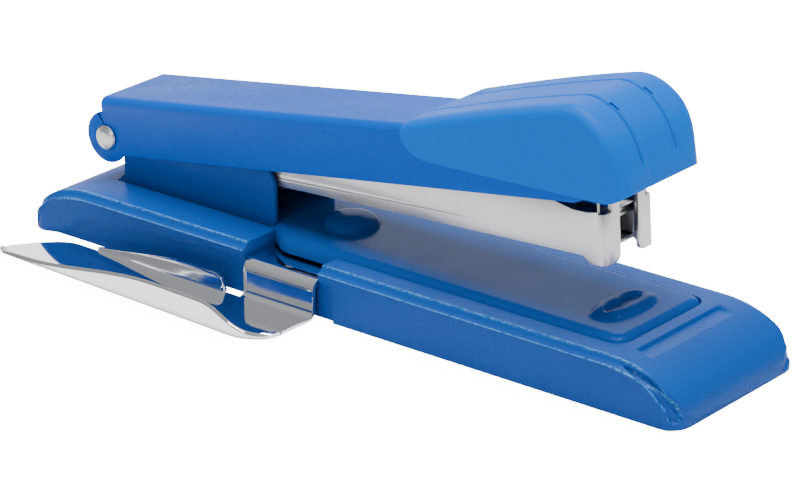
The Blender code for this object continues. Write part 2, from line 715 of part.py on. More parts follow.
# ---------------------------------------------------------------- magazine
def magazine_side():
    """Side view of the channel's wall, in the magazine's frame."""
    nose = REACH - NOSE_LENGTH
    dip = MAGAZINE_TOP - NOSE_DIP
    outline = arc((0, 0), -MAGAZINE_BOTTOM, 270, 180, 6)
    outline += arc((MAGAZINE_BOTTOM + 3 * MM, MAGAZINE_TOP - 3 * MM), 3 * MM, 180, 90, 4)
    outline += [(nose - 8 * MM, MAGAZINE_TOP), (nose - 2 * MM, dip), (nose + 1.5 * MM, dip)]
    outline += [(REACH - FLANGE_BEND, dip + 0.4 * MM), (REACH - FLANGE_BEND, FLANGE_TOP)]
    outline += [(REACH + 1 * MM, FLANGE_TOP)]
    outline += [(REACH + 1 * MM, MAGAZINE_BOTTOM - NOSE_DROP), (nose + 1.4 * MM, MAGAZINE_BOTTOM - NOSE_DROP)]
    outline += [(nose, MAGAZINE_BOTTOM)]
    return outline


def magazine_wall(side):
    """Plan of one wall with the flange that turns in across the nose."""
    outer, inner = MAGAZINE_OUTER, MAGAZINE_INNER
    bend = FLANGE_BEND
    outline = [(MAGAZINE_BOTTOM, outer)]
    outline += arc((REACH - bend, outer - bend), bend, 90, 0, 5)
    outline += [(REACH, FLANGE_SLOT), (REACH - CHANNEL_SHEET, FLANGE_SLOT)]
    outline += arc((REACH - bend, outer - bend), bend - CHANNEL_SHEET, 0, 90, 3)
    outline += [(MAGAZINE_BOTTOM, inner)]
    return [(x, side * y) for x, y in outline]


def flange_front():
    """Front view that trims the flanges: rounded feet and narrow necks."""
    low, shoulder = MAGAZINE_BOTTOM - NOSE_DROP, MAGAZINE_TOP - NOSE_DIP
    foot = 1.4 * MM
    half = arc((FLANGE_SLOT + foot, low + foot), foot, 180, 270, 4)
    half += [(MAGAZINE_OUTER + 1 * MM, low), (MAGAZINE_OUTER + 1 * MM, shoulder)]
    half += [(FLANGE_NECK, shoulder), (FLANGE_NECK, FLANGE_TOP), (FLANGE_SLOT, FLANGE_TOP)]
    return half


def magazine_channel():
    reach = TOOL / 4
    walls = {}
    for side in (-1, 1):
        plan = prism(magazine_wall(side), -reach, reach, "plan")
        name = "magazine_channel" if side < 0 else "far_wall"
        walls[side] = add_part(name, plan, PLATED, MAGAZINE_AXIS) if side < 0 else add_tool(
            name, plan, MAGAZINE_AXIS)
        trim = prism(magazine_side(), -TOOL, TOOL)
        boolean(walls[side], add_tool(f"wall_side_{side}", trim, MAGAZINE_AXIS), "INTERSECT")
        outline = [(side * y, z) for y, z in flange_front()]
        front = prism(outline, REACH - FLANGE_BEND, REACH + 2 * MM, "front")
        front_tool = add_tool(f"flange_front_{side}", front, MAGAZINE_AXIS)
        rear = box((-TOOL, -TOOL, -TOOL), (REACH - FLANGE_BEND + 0.01 * MM, TOOL, TOOL))
        boolean(front_tool, add_tool(f"behind_flange_{side}", rear, MAGAZINE_AXIS), "UNION")
        boolean(walls[side], front_tool, "INTERSECT")
    channel = walls[-1]
    boolean(channel, walls[1], "UNION")
    floor = box((0, -MAGAZINE_INNER - CHANNEL_SHEET / 2, MAGAZINE_BOTTOM),
                (REACH - NOSE_WINDOW - 0.6 * MM, MAGAZINE_INNER + CHANNEL_SHEET / 2,
                 MAGAZINE_BOTTOM + CHANNEL_SHEET))
    boolean(channel, add_tool("floor", floor, MAGAZINE_AXIS), "UNION")
    for side in (-1, 1):
        groove = [(28 * MM, MAGAZINE_BOTTOM + 1.2 * MM), (95 * MM, MAGAZINE_BOTTOM + 2.5 * MM),
                  (28 * MM, MAGAZINE_BOTTOM + 3.0 * MM)]
        low, high = sorted((side * (MAGAZINE_OUTER - 0.35 * MM), side * TOOL))
        boolean(channel, add_tool(f"rib_{side}", prism(groove, low, high), MAGAZINE_AXIS))
    bore(channel, "magazine_bore", (0, -TOOL, 0), (0, TOOL, 0), PIVOT_RADIUS + BORE_GAP, MAGAZINE_AXIS)
    return channel


def u_section(half, low, top, thickness):
    """Inverted channel section in Y and Z."""
    inner = half - thickness
    return [(-half, low), (-half, top), (half, top), (half, low),
            (inner, low), (inner, top - thickness), (-inner, top - thickness), (-inner, low)]


def magazine_insides():
    rail_half = STAPLE_WIDTH / 2 - STAPLE_WIRE - SEAT_GAP
    rail = prism(u_section(rail_half, STAPLE_BASE, RAIL_TOP, CHANNEL_SHEET), RAIL_START, RAIL_END, "front")
    add_part("staple_rail", rail, PLATED, MAGAZINE_AXIS)
    staples = u_section(STAPLE_WIDTH / 2, STAPLE_BASE, STAPLE_CROWN, STAPLE_WIRE)
    add_part("staple_strip", prism(staples, STRIP_START, RAIL_END, "front"), STAPLE_STEEL, MAGAZINE_AXIS)
    sleeve_half = MAGAZINE_INNER - SEAT_GAP
    sleeve_radius = min(PIVOT_RADIUS + SLEEVE_WALL, -MAGAZINE_BOTTOM - CHANNEL_SHEET - SEAT_GAP)
    sleeve = add_part("pivot_sleeve", rod((0, -sleeve_half, 0), (0, sleeve_half, 0), sleeve_radius), PLATED,
                      MAGAZINE_AXIS)
    bore(sleeve, "sleeve_bore", (0, -TOOL, 0), (0, TOOL, 0), PIVOT_RADIUS + BORE_GAP, MAGAZINE_AXIS)
    half = MAGAZINE_INNER - SEAT_GAP
    bottom = RAIL_TOP + SEAT_GAP
    anchor_low = RAIL_START + 0.5 * MM
    anchor_block = box((anchor_low, -half, bottom), (anchor_low + ANCHOR_LENGTH, half, FOLLOWER_TOP))
    anchor = add_part("spring_anchor", anchor_block, PLATED, MAGAZINE_AXIS)
    rod_start = (anchor_low - 0.8 * MM, 0, ROD_HEIGHT)
    rod_end = (RAIL_END - 1 * MM, 0, ROD_HEIGHT)
    bore(anchor, "anchor_bore", (-TOOL, 0, ROD_HEIGHT), (TOOL, 0, ROD_HEIGHT), ROD_RADIUS + BORE_GAP / 2,
         MAGAZINE_AXIS)
    add_part("guide_rod", rod(rod_start, rod_end, ROD_RADIUS, 20), SPRING_STEEL, MAGAZINE_AXIS)
    rear = FOLLOWER_END - FOLLOWER_LENGTH
    leg = STAPLE_WIDTH / 2 - STAPLE_WIRE
    outline = [(-half, STAPLE_BASE + SEAT_GAP), (-half, FOLLOWER_TOP), (half, FOLLOWER_TOP),
               (half, STAPLE_BASE + SEAT_GAP), (leg, STAPLE_BASE + SEAT_GAP), (leg, bottom),
               (-leg, bottom), (-leg, STAPLE_BASE + SEAT_GAP)]
    follower = add_part("follower", prism(outline, rear, FOLLOWER_END, "front"), BLACK_PLASTIC, MAGAZINE_AXIS)
    bore(follower, "follower_bore", (-TOOL, 0, ROD_HEIGHT), (TOOL * 3, 0, ROD_HEIGHT), ROD_RADIUS + BORE_GAP,
         MAGAZINE_AXIS)
    follower_spring(anchor_low + ANCHOR_LENGTH + SEAT_GAP + COIL_WIRE, rear - SEAT_GAP - COIL_WIRE)


def follower_spring(start, end):
    curve = bpy.data.curves.new("follower_spring", "CURVE")
    curve.dimensions = "3D"
    curve.bevel_depth = COIL_WIRE
    curve.bevel_resolution = 0
    curve.use_fill_caps = True
    spline = curve.splines.new("POLY")
    per_turn = 10
    count = COIL_TURNS * per_turn
    spline.points.add(count)
    for i, point in enumerate(spline.points):
        angle = 2 * math.pi * i / per_turn
        along = start + (end - start) * i / count
        point.co = (along, COIL_RADIUS * math.cos(angle), ROD_HEIGHT + COIL_RADIUS * math.sin(angle), 1)
    holder = bpy.data.objects.new("coil", curve)
    PARTS.objects.link(holder)
    add_part("follower_spring", weld_curve(holder), SPRING_STEEL, MAGAZINE_AXIS)


# ---------------------------------------------------------------- arm
def arm_side():
    """Side view of the arm: straight channel with a round lobe about the rivet."""
    low = ARM_TOP - ARM_DEPTH
    end = REACH + ARM_NOSE
    meet_top = math.degrees(math.acos(-ARM_BACK / ARM_LOBE))
    meet_low = 360 - math.degrees(math.acos(math.sqrt(ARM_LOBE ** 2 - low ** 2) / ARM_LOBE))
    outline = [(-ARM_BACK, ARM_TOP + 1 * MM)]
    outline += arc((0, 0), ARM_LOBE, meet_top, meet_low, 20)
    outline += [(end - 7 * MM, low), (end, low + 2.2 * MM), (end, ARM_TOP + 1 * MM)]
    return outline


def arm_section():
    """Inverted channel section with rounded upper bends."""
    low = -ARM_LOBE - 2 * MM
    outer = [(-ARM_OUTER, low)] + arc((-ARM_OUTER + ARM_BEND, ARM_TOP - ARM_BEND), ARM_BEND, 180, 90, 4)
    outer += [(-y, z) for y, z in reversed(outer)]
    bend = ARM_BEND - ARM_SHEET
    inner = [(ARM_INNER, low)] + arc((ARM_INNER - bend, WEB - bend), bend, 0, 90, 3)
    inner += [(-y, z) for y, z in reversed(inner)]
    return outer + inner


def arm_channel():
    channel = prism(arm_section(), -ARM_LOBE - 1 * MM, REACH + ARM_NOSE + 1 * MM, "front")
    arm = add_part("arm_channel", channel, ARM_BLUE, ARM_AXIS)
    boolean(arm, add_tool("arm_side", prism(arm_side(), -TOOL, TOOL), ARM_AXIS), "INTERSECT")
    room = MAGAZINE_OUTER + SEAT_GAP
    notch = box((REACH - FLANGE_BEND - RUNNING_GAP, -room, -TOOL), (REACH + TOOL, room, TOOL))
    boolean(arm, add_tool("flange_room", notch, ARM_AXIS))
    bore(arm, "arm_bore", (0, -TOOL, 0), (0, TOOL, 0), PIVOT_RADIUS + BORE_GAP, ARM_AXIS)
    for name, x, y in arm_rivets():
        bore(arm, name + "_web", (x, y, 0), (x, y, TOOL), RIVET_RADIUS + BORE_GAP, ARM_AXIS)
    return arm


def arm_rivets():
    blade_x = REACH - BLADE_SET_BACK - BLADE_FLANGE + 4 * MM
    spring_x = SPRING_ROOT - 4 * MM
    places = []
    for label, x in (("driver_rivet", blade_x), ("spring_rivet", spring_x)):
        for side, y in (("left", RIVET_SPREAD), ("right", -RIVET_SPREAD)):
            places.append((f"{label}_{side}", x, y))
    return places


def driver_blade():
    top = WEB - SEAT_GAP
    x = REACH - BLADE_SET_BACK
    half = STAPLE_WIDTH / 2
    foot = MAGAZINE_BOTTOM - NOSE_DROP + 0.4 * MM
    plate = box((x - BLADE_SHEET / 2, -half, foot), (x + BLADE_SHEET / 2, half, top))
    blade = add_part("driver_blade", plate, SPRING_STEEL, ARM_AXIS)
    flange_half = half - 0.2 * MM
    flange = box((x - BLADE_FLANGE, -flange_half, top - BLADE_SHEET), (x, flange_half, top - 0.01 * MM))
    boolean(blade, add_tool("blade_flange", flange, ARM_AXIS), "UNION")
    for name, rx, ry in arm_rivets():
        if name.startswith("driver"):
            bore(blade, name + "_hole", (rx, ry, 0), (rx, ry, TOOL), RIVET_RADIUS + BORE_GAP, ARM_AXIS)
            rivet(name, PLATED, (rx, ry, 0), top - BLADE_SHEET - BORE_GAP, ARM_TOP + BORE_GAP, ARM_AXIS)


def return_spring():
    lean = ARM_TILT - MAGAZINE_TILT
    top = WEB - SEAT_GAP - SPRING_SHEET / 2
    rest = MAGAZINE_TOP + SEAT_GAP + SPRING_SHEET
    tip_u = SPRING_TIP * math.cos(lean) + rest * math.sin(lean)
    tip_v = rest * math.cos(lean) - SPRING_TIP * math.sin(lean)
    path = [(SPRING_ROOT, top)]
    for i in range(9):
        share = i / 8
        x = SPRING_BEND + (tip_u - SPRING_BEND) * share
        path.append((x, top + (tip_v - top) * math.sin(math.pi / 2 * share) ** 1.4))
    path.append((tip_u - 3 * MM, tip_v + 1.2 * MM))
    spring = add_part("return_spring", sheet(strip(path, SPRING_HALF)), SPRING_STEEL, ARM_AXIS)
    solidify(spring, SPRING_SHEET)
    for name, rx, ry in arm_rivets():
        if name.startswith("spring"):
            bore(spring, name + "_hole", (rx, ry, 0), (rx, ry, TOOL), RIVET_RADIUS + BORE_GAP, ARM_AXIS)
            rivet(name, PLATED, (rx, ry, 0), top - SPRING_SHEET / 2 - BORE_GAP, ARM_TOP + BORE_GAP, ARM_AXIS)


# ---------------------------------------------------------------- cap
def cap_top(x, lift=0.0):
    """Crest of the cap: a long rise from the rear, then a full round down the front."""
    front = REACH + CAP_NOSE
    rear = front - CAP_LENGTH
    crown = front - CAP_FRONT_ROUND
    if x <= crown:
        share = (x - rear) / (crown - rear)
        return CAP_REAR_TOP + (CAP_CREST - CAP_REAR_TOP) * (1.18 * share - 0.18 * share ** 3) - lift
    share = (x - crown) / CAP_FRONT_ROUND
    drop = 1 - max(1 - share ** 2.0, 0.0) ** (1 / 2.3)
    return CAP_CREST - (CAP_CREST - CAP_BOTTOM_FRONT - 2.0 * MM) * drop - lift


def cap_bottom(x):
    """Lower edge: lifts at the rear, runs straight, and lifts a little at the front."""
    front = REACH + CAP_NOSE
    rear = front - CAP_LENGTH
    slope = (CAP_BOTTOM_FRONT - CAP_BOTTOM_REAR) / (CAP_LENGTH - 18 * MM)
    line = CAP_BOTTOM_REAR + slope * (x - rear - 12 * MM)
    back = max(1 - (x - rear) / (10 * MM), 0.0)
    ahead = max((x - front + 5 * MM) / (5 * MM), 0.0)
    return line + 5.6 * MM * back ** 2.0 + 1.6 * MM * ahead ** 2


def cap_half(x):
    """Half width: full, with rounded corners in plan at the front."""
    radius = 3.6 * MM
    past = max(x - (REACH + CAP_NOSE - radius), 0.0)
    return CAP_HALF - (radius - math.sqrt(max(radius ** 2 - past ** 2, 0.0)))


def cap_stations(inset=0.0):
    front = REACH + CAP_NOSE - inset
    rear = REACH + CAP_NOSE - CAP_LENGTH + inset
    crown = REACH + CAP_NOSE - CAP_FRONT_ROUND
    back = [rear + (crown - rear) * i / 12 for i in range(12)]
    round_end = [crown + (front - crown) * math.sin(math.pi / 2 * i / 10) for i in range(11)]
    return back + round_end


def cap():
    rings = [hood_ring(x, cap_bottom(x), cap_top(x), cap_half(x), CAP_EDGE) for x in cap_stations()]
    cap_piece = add_part("cap", loft(rings), CAP_BLUE, ARM_AXIS)
    rings = []
    for x in cap_stations(CAP_WALL):
        top = min(cap_top(x, CAP_WALL), cap_top(x + CAP_WALL * 0.7, CAP_WALL * 0.6))
        if top > ARM_TOP - 5 * MM:
            half = cap_half(x + CAP_WALL) - CAP_WALL
            rings.append(hood_ring(x, -TOOL / 3, top, half, CAP_EDGE - CAP_WALL / 2))
    boolean(cap_piece, add_tool("cap_hollow", loft(rings), ARM_AXIS))
    tunnel = box((-TOOL, -ARM_OUTER - SEAT_GAP, -TOOL), (REACH + ARM_NOSE + SEAT_GAP, ARM_OUTER + SEAT_GAP,
                                                        ARM_TOP + SEAT_GAP))
    boolean(cap_piece, add_tool("cap_tunnel", tunnel, ARM_AXIS))
    return cap_piece


# ---------------------------------------------------------------- assembly
base_shell()
foot_pad()
for screw_name, screw_x in screw_places().items():
    frame_screw(screw_name, screw_x)
base_frame()
lift_spring()
pivot_rivet()
staple_remover()
magazine_channel()
magazine_insides()
arm_channel()
driver_blade()
return_spring()
cap()
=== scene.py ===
# %% [markdown]
# # A desk stapler, dressed around its mechanical model
#
# The mechanical model already fixes every size and every joint. This lesson keeps it as
# it is and works on what the eye sees: moulded grain, enamel on sheet steel, nickel,
# chrome and the small pressed details. The frame is loaded first.

# %% Load the frame
import json
import math

import bmesh
import bpy
import numpy as np
from mathutils import Matrix, Vector


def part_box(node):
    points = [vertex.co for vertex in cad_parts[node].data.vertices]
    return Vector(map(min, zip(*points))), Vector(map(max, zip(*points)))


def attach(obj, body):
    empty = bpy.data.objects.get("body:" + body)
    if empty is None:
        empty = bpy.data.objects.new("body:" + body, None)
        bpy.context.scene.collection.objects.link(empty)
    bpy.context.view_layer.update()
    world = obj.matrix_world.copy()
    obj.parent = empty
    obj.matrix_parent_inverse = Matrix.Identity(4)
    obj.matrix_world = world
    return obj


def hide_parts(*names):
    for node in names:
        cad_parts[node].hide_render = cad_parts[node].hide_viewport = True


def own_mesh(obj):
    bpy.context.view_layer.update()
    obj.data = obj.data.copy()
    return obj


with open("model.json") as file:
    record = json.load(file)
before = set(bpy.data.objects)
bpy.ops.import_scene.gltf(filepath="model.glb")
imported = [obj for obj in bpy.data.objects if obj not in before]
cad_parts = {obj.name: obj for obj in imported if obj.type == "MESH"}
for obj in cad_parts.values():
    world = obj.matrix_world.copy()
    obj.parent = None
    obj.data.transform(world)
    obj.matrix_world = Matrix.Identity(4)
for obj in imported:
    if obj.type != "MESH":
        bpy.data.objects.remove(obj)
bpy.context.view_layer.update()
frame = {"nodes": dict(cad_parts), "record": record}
MM = 0.001
print("nodes:", len(frame["nodes"]))

# %% [markdown]
# ## Places to measure from
#
# Every new piece is placed from a node's box or a joint's position, never by eye. The
# base is symmetric about y = 0, so half its width and length are enough. The arm and the
# magazine each have a frame of their own: it starts at the rivet and is tilted nose up.

# %% Read the driving places
shell_high = Vector(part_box("base_shell")[1])
joints = {joint["name"]: joint for joint in frame["record"]["behaviour"]["joints"]}
PIVOT = Vector(joints["arm_pivot"]["pos_m"])
ARM_TILT = math.radians(8.65)
MAGAZINE_TILT = math.radians(3.2)
HALF_LENGTH, HALF_WIDTH, SHELL_TOP = shell_high.x, shell_high.y, shell_high.z


def tilted(tilt):
    """Matrix from a tilted frame at the rivet to the world."""
    return Matrix.Translation(PIVOT) @ Matrix.Rotation(-tilt, 4, "Y")


print(f"base {2000 * HALF_LENGTH:.1f} x {2000 * HALF_WIDTH:.1f} x {1000 * SHELL_TOP:.1f} mm")

# %% [markdown]
# ## Camera
#
# A long lens from about 0.7 m away keeps the stapler's long edges almost parallel.
# The camera looks along a direction given by azimuth and elevation,
# with a very small roll, so that the base runs down to the right.

# %% Place the camera
AZIMUTH, ELEVATION, ROLL = math.radians(39.99), math.radians(22.21), math.radians(-0.71)
DISTANCE, LENS = 0.7003, 159.2
LOOK_AT = Vector((0.0011, 0.0, 0.0095))

back = Vector((math.sin(AZIMUTH) * math.cos(ELEVATION), -math.cos(AZIMUTH) * math.cos(ELEVATION),
               math.sin(ELEVATION)))
level_right = Vector((math.cos(AZIMUTH), math.sin(AZIMUTH), 0))
level_up = back.cross(level_right)
right = math.cos(ROLL) * level_right + math.sin(ROLL) * level_up
up = math.cos(ROLL) * level_up - math.sin(ROLL) * level_right
camera_data = bpy.data.cameras.new("camera")
camera_data.lens = LENS
camera_data.clip_start = 0.01
camera = bpy.data.objects.new("camera", camera_data)
bpy.context.scene.collection.objects.link(camera)
turn = Matrix((right, up, back)).transposed().to_4x4()
camera.matrix_world = Matrix.Translation(LOOK_AT + DISTANCE * back) @ turn
bpy.context.scene.camera = camera
print("camera at", [round(value, 3) for value in camera.matrix_world.translation])

# %% [markdown]
# ## Floor and light
#
# Enamel, nickel and chrome are only as good as what they mirror, so the light is made of
# large soft panels over a pale sweep. The sky is a soft gradient, a little darker near
# the horizon, which gives the flat faces a gentle change of tone.

# %% Build the studio
FLOOR_SIZE = 6.0
floor_mesh = bpy.data.meshes.new("floor")
floor_mesh.from_pydata([(-FLOOR_SIZE, -FLOOR_SIZE, 0), (FLOOR_SIZE, -FLOOR_SIZE, 0),
                        (FLOOR_SIZE, FLOOR_SIZE, 0), (-FLOOR_SIZE, FLOOR_SIZE, 0)], [], [(0, 1, 2, 3)])
floor = bpy.data.objects.new("floor", floor_mesh)
bpy.context.scene.collection.objects.link(floor)
paper = bpy.data.materials.new("floor_paper")
paper.use_nodes = True
paper_shader = paper.node_tree.nodes["Principled BSDF"]
paper_shader.inputs["Base Color"].default_value = (0.92, 0.92, 0.93, 1)
paper_shader.inputs["Roughness"].default_value = 0.7
floor_mesh.materials.append(paper)
sight = paper.node_tree.nodes.new("ShaderNodeLightPath")
lift = paper.node_tree.nodes.new("ShaderNodeMath")
lift.operation = "MULTIPLY"
lift.inputs[1].default_value = 14.0
paper.node_tree.links.new(sight.outputs["Is Camera Ray"], lift.inputs[0])
paper.node_tree.links.new(lift.outputs[0], paper_shader.inputs["Emission Strength"])
paper_shader.inputs["Emission Color"].default_value = (0.98, 0.99, 1.0, 1)


def panel(name, place, aim, size, power):
    """A square soft light at a place, turned towards aim."""
    data = bpy.data.lights.new(name, "AREA")
    data.shape = "RECTANGLE"
    data.size, data.size_y = size
    data.energy = power
    light = bpy.data.objects.new(name, data)
    light.location = place
    light.rotation_euler = (Vector(aim) - Vector(place)).to_track_quat("-Z", "Y").to_euler()
    bpy.context.scene.collection.objects.link(light)
    return light


panel("top_panel", (0.0, 0.05, 1.0), (0, 0, 0.0), (0.75, 0.6), 22.0)
panel("back_panel", (-0.75, 0.95, 0.50), (0, 0, 0.03), (1.2, 0.6), 4.5)
panel("front_panel", (0.15, -0.95, 0.50), (0, 0, 0.02), (0.6, 0.2), 3.0)
panel("nose_panel", (1.0, 0.0, 0.40), (0, 0, 0.03), (0.4, 0.4), 2.0)
world = bpy.data.worlds.new("studio")
world.use_nodes = True
bpy.context.scene.world = world
sky = world.node_tree
glow = sky.nodes["Background"]
glow.inputs["Strength"].default_value = 0.55
ramp = sky.nodes.new("ShaderNodeValToRGB")
ramp.color_ramp.elements[0].color = (0.50, 0.52, 0.56, 1)
ramp.color_ramp.elements[1].color = (0.98, 0.98, 1.0, 1)
where = sky.nodes.new("ShaderNodeTexCoord")
split = sky.nodes.new("ShaderNodeSeparateXYZ")
sky.links.new(where.outputs["Generated"], split.inputs[0])
sky.links.new(split.outputs["Z"], ramp.inputs["Fac"])
sky.links.new(ramp.outputs["Color"], glow.inputs["Color"])

# %% [markdown]
# ## Shared effects
#
# Four things happen to most of these surfaces: a moulded or rolled grain, worn edges, a
# slow drift of tone, and dust or finger marks. Each is a node group with plain inputs,
# built once and placed in every material that needs it. A group only hands out colours,
# masks, values and normals, so each shader stays in its own material.

# %% Node group helpers
def new_group(name, inputs, outputs):
    """An empty shader node group with named sockets: (name, kind, default)."""
    group = bpy.data.node_groups.new(name, "ShaderNodeTree")
    for label, kind, default in inputs:
        socket = group.interface.new_socket(label, in_out="INPUT", socket_type=kind)
        if default is not None:
            socket.default_value = default
    for label, kind in outputs:
        group.interface.new_socket(label, in_out="OUTPUT", socket_type=kind)
    return group, group.nodes.new("NodeGroupInput"), group.nodes.new("NodeGroupOutput")


def math_node(tree, operation, first, second=0.0, clamp=False):
    node = tree.nodes.new("ShaderNodeMath")
    node.operation = operation
    node.use_clamp = clamp
    for socket, value in zip(node.inputs, (first, second)):
        if isinstance(value, (int, float)):
            socket.default_value = value
        else:
            tree.links.new(value, socket)
    return node.outputs[0]


def noise(tree, vector, scale, detail=2.0, rough=0.5):
    node = tree.nodes.new("ShaderNodeTexNoise")
    node.inputs["Detail"].default_value = detail
    node.inputs["Roughness"].default_value = rough
    tree.links.new(vector, node.inputs["Vector"])
    if isinstance(scale, (int, float)):
        node.inputs["Scale"].default_value = scale
    else:
        tree.links.new(scale, node.inputs["Scale"])
    return node.outputs["Fac"]


def ramp_range(tree, value, low, high, new_low=0.0, new_high=1.0):
    node = tree.nodes.new("ShaderNodeMapRange")
    node.inputs["From Min"].default_value = low
    node.inputs["From Max"].default_value = high
    node.inputs["To Min"].default_value = new_low
    node.inputs["To Max"].default_value = new_high
    tree.links.new(value, node.inputs["Value"])
    return node.outputs["Result"]


# %% Grain, wear, drift and marks
def build_grain():
    """Cell-like leather grain with a finer pebble on top. Height from 0 to 1."""
    tree, given, made = new_group("leather_grain", [("Scale", "NodeSocketFloat", 1500.0)],
                                  [("Height", "NodeSocketFloat")])
    place = tree.nodes.new("ShaderNodeTexCoord").outputs["Object"]
    cells = tree.nodes.new("ShaderNodeTexVoronoi")
    cells.feature = "SMOOTH_F1"
    cells.inputs["Smoothness"].default_value = 0.6
    tree.links.new(place, cells.inputs["Vector"])
    tree.links.new(given.outputs["Scale"], cells.inputs["Scale"])
    fine_scale = math_node(tree, "MULTIPLY", given.outputs["Scale"], 2.3)
    fine = noise(tree, place, fine_scale, 2.0, 0.6)
    mix = math_node(tree, "MULTIPLY_ADD", cells.outputs["Distance"], 0.8)
    mix.node.inputs[2].default_value = 0.0
    total = math_node(tree, "ADD", mix, math_node(tree, "MULTIPLY", fine, 0.45))
    tree.links.new(total, made.inputs["Height"])
    return tree


def build_wear():
    """Mask that is 1 on sharp outer edges, broken up by noise."""
    tree, given, made = new_group("edge_wear", [("Sharpness", "NodeSocketFloat", 0.56)],
                                  [("Mask", "NodeSocketFloat")])
    shape = tree.nodes.new("ShaderNodeNewGeometry")
    place = tree.nodes.new("ShaderNodeTexCoord").outputs["Object"]
    patches = noise(tree, place, 220.0, 3.0, 0.6)
    above = math_node(tree, "SUBTRACT", shape.outputs["Pointiness"], given.outputs["Sharpness"])
    edge = math_node(tree, "MULTIPLY", above, 14.0, clamp=True)
    broken = ramp_range(tree, patches, 0.45, 0.62)
    tree.links.new(math_node(tree, "MULTIPLY", edge, broken), made.inputs["Mask"])
    return tree


def build_drift():
    """A colour that drifts slowly lighter and darker over a few centimetres."""
    tree, given, made = new_group("tone_drift", [("Color", "NodeSocketColor", (0.5, 0.5, 0.5, 1)),
                                                 ("Amount", "NodeSocketFloat", 0.08),
                                                 ("Scale", "NodeSocketFloat", 30.0)],
                                  [("Color", "NodeSocketColor")])
    place = tree.nodes.new("ShaderNodeTexCoord").outputs["Object"]
    cloud = noise(tree, place, given.outputs["Scale"], 3.0, 0.55)
    swing = math_node(tree, "MULTIPLY", math_node(tree, "SUBTRACT", cloud, 0.5), given.outputs["Amount"])
    tone = tree.nodes.new("ShaderNodeHueSaturation")
    tree.links.new(math_node(tree, "MULTIPLY_ADD", swing, 2.0), tone.inputs["Value"])
    tone.inputs["Value"].links[0].from_node.inputs[2].default_value = 1.0
    tree.links.new(given.outputs["Color"], tone.inputs["Color"])
    tree.links.new(tone.outputs["Color"], made.inputs["Color"])
    return tree


def build_marks():
    """Roughness made of a base value, faint finger smudges and fine hairline rubs."""
    tree, given, made = new_group("handling_marks", [("Roughness", "NodeSocketFloat", 0.3),
                                                     ("Smudges", "NodeSocketFloat", 0.08),
                                                     ("Hairlines", "NodeSocketFloat", 0.05)],
                                  [("Roughness", "NodeSocketFloat")])
    place = tree.nodes.new("ShaderNodeTexCoord").outputs["Object"]
    blots = ramp_range(tree, noise(tree, place, 75.0, 4.0, 0.6), 0.42, 0.72)
    stretch = tree.nodes.new("ShaderNodeMapping")
    stretch.inputs["Scale"].default_value = (35.0, 900.0, 900.0)
    tree.links.new(place, stretch.inputs["Vector"])
    lines = noise(tree, stretch.outputs["Vector"], 1.0, 2.0, 0.5)
    rubs = math_node(tree, "MULTIPLY", math_node(tree, "SUBTRACT", lines, 0.5), given.outputs["Hairlines"])
    total = math_node(tree, "ADD", given.outputs["Roughness"],
                      math_node(tree, "MULTIPLY", blots, given.outputs["Smudges"]))
    tree.links.new(math_node(tree, "ADD", total, rubs, clamp=True), made.inputs["Roughness"])
    return tree


GRAIN, WEAR, DRIFT, MARKS = build_grain(), build_wear(), build_drift(), build_marks()
print("groups:", [group.name for group in (GRAIN, WEAR, DRIFT, MARKS)])

# %% [markdown]
# ## Finishes
#
# Each finish starts from one recipe: a drifting base colour, marked roughness, an edge
# mask that blends in a worn colour, and a bump from its own grain. What differs is the
# colour, the gloss and the grain's size, so the recipe is one function and each finish
# is a short call to it.

# %% The finish recipe
def place_group(tree, group, **values):
    node = tree.nodes.new("ShaderNodeGroup")
    node.node_tree = group
    for label, value in values.items():
        node.inputs[label].default_value = value
    return node


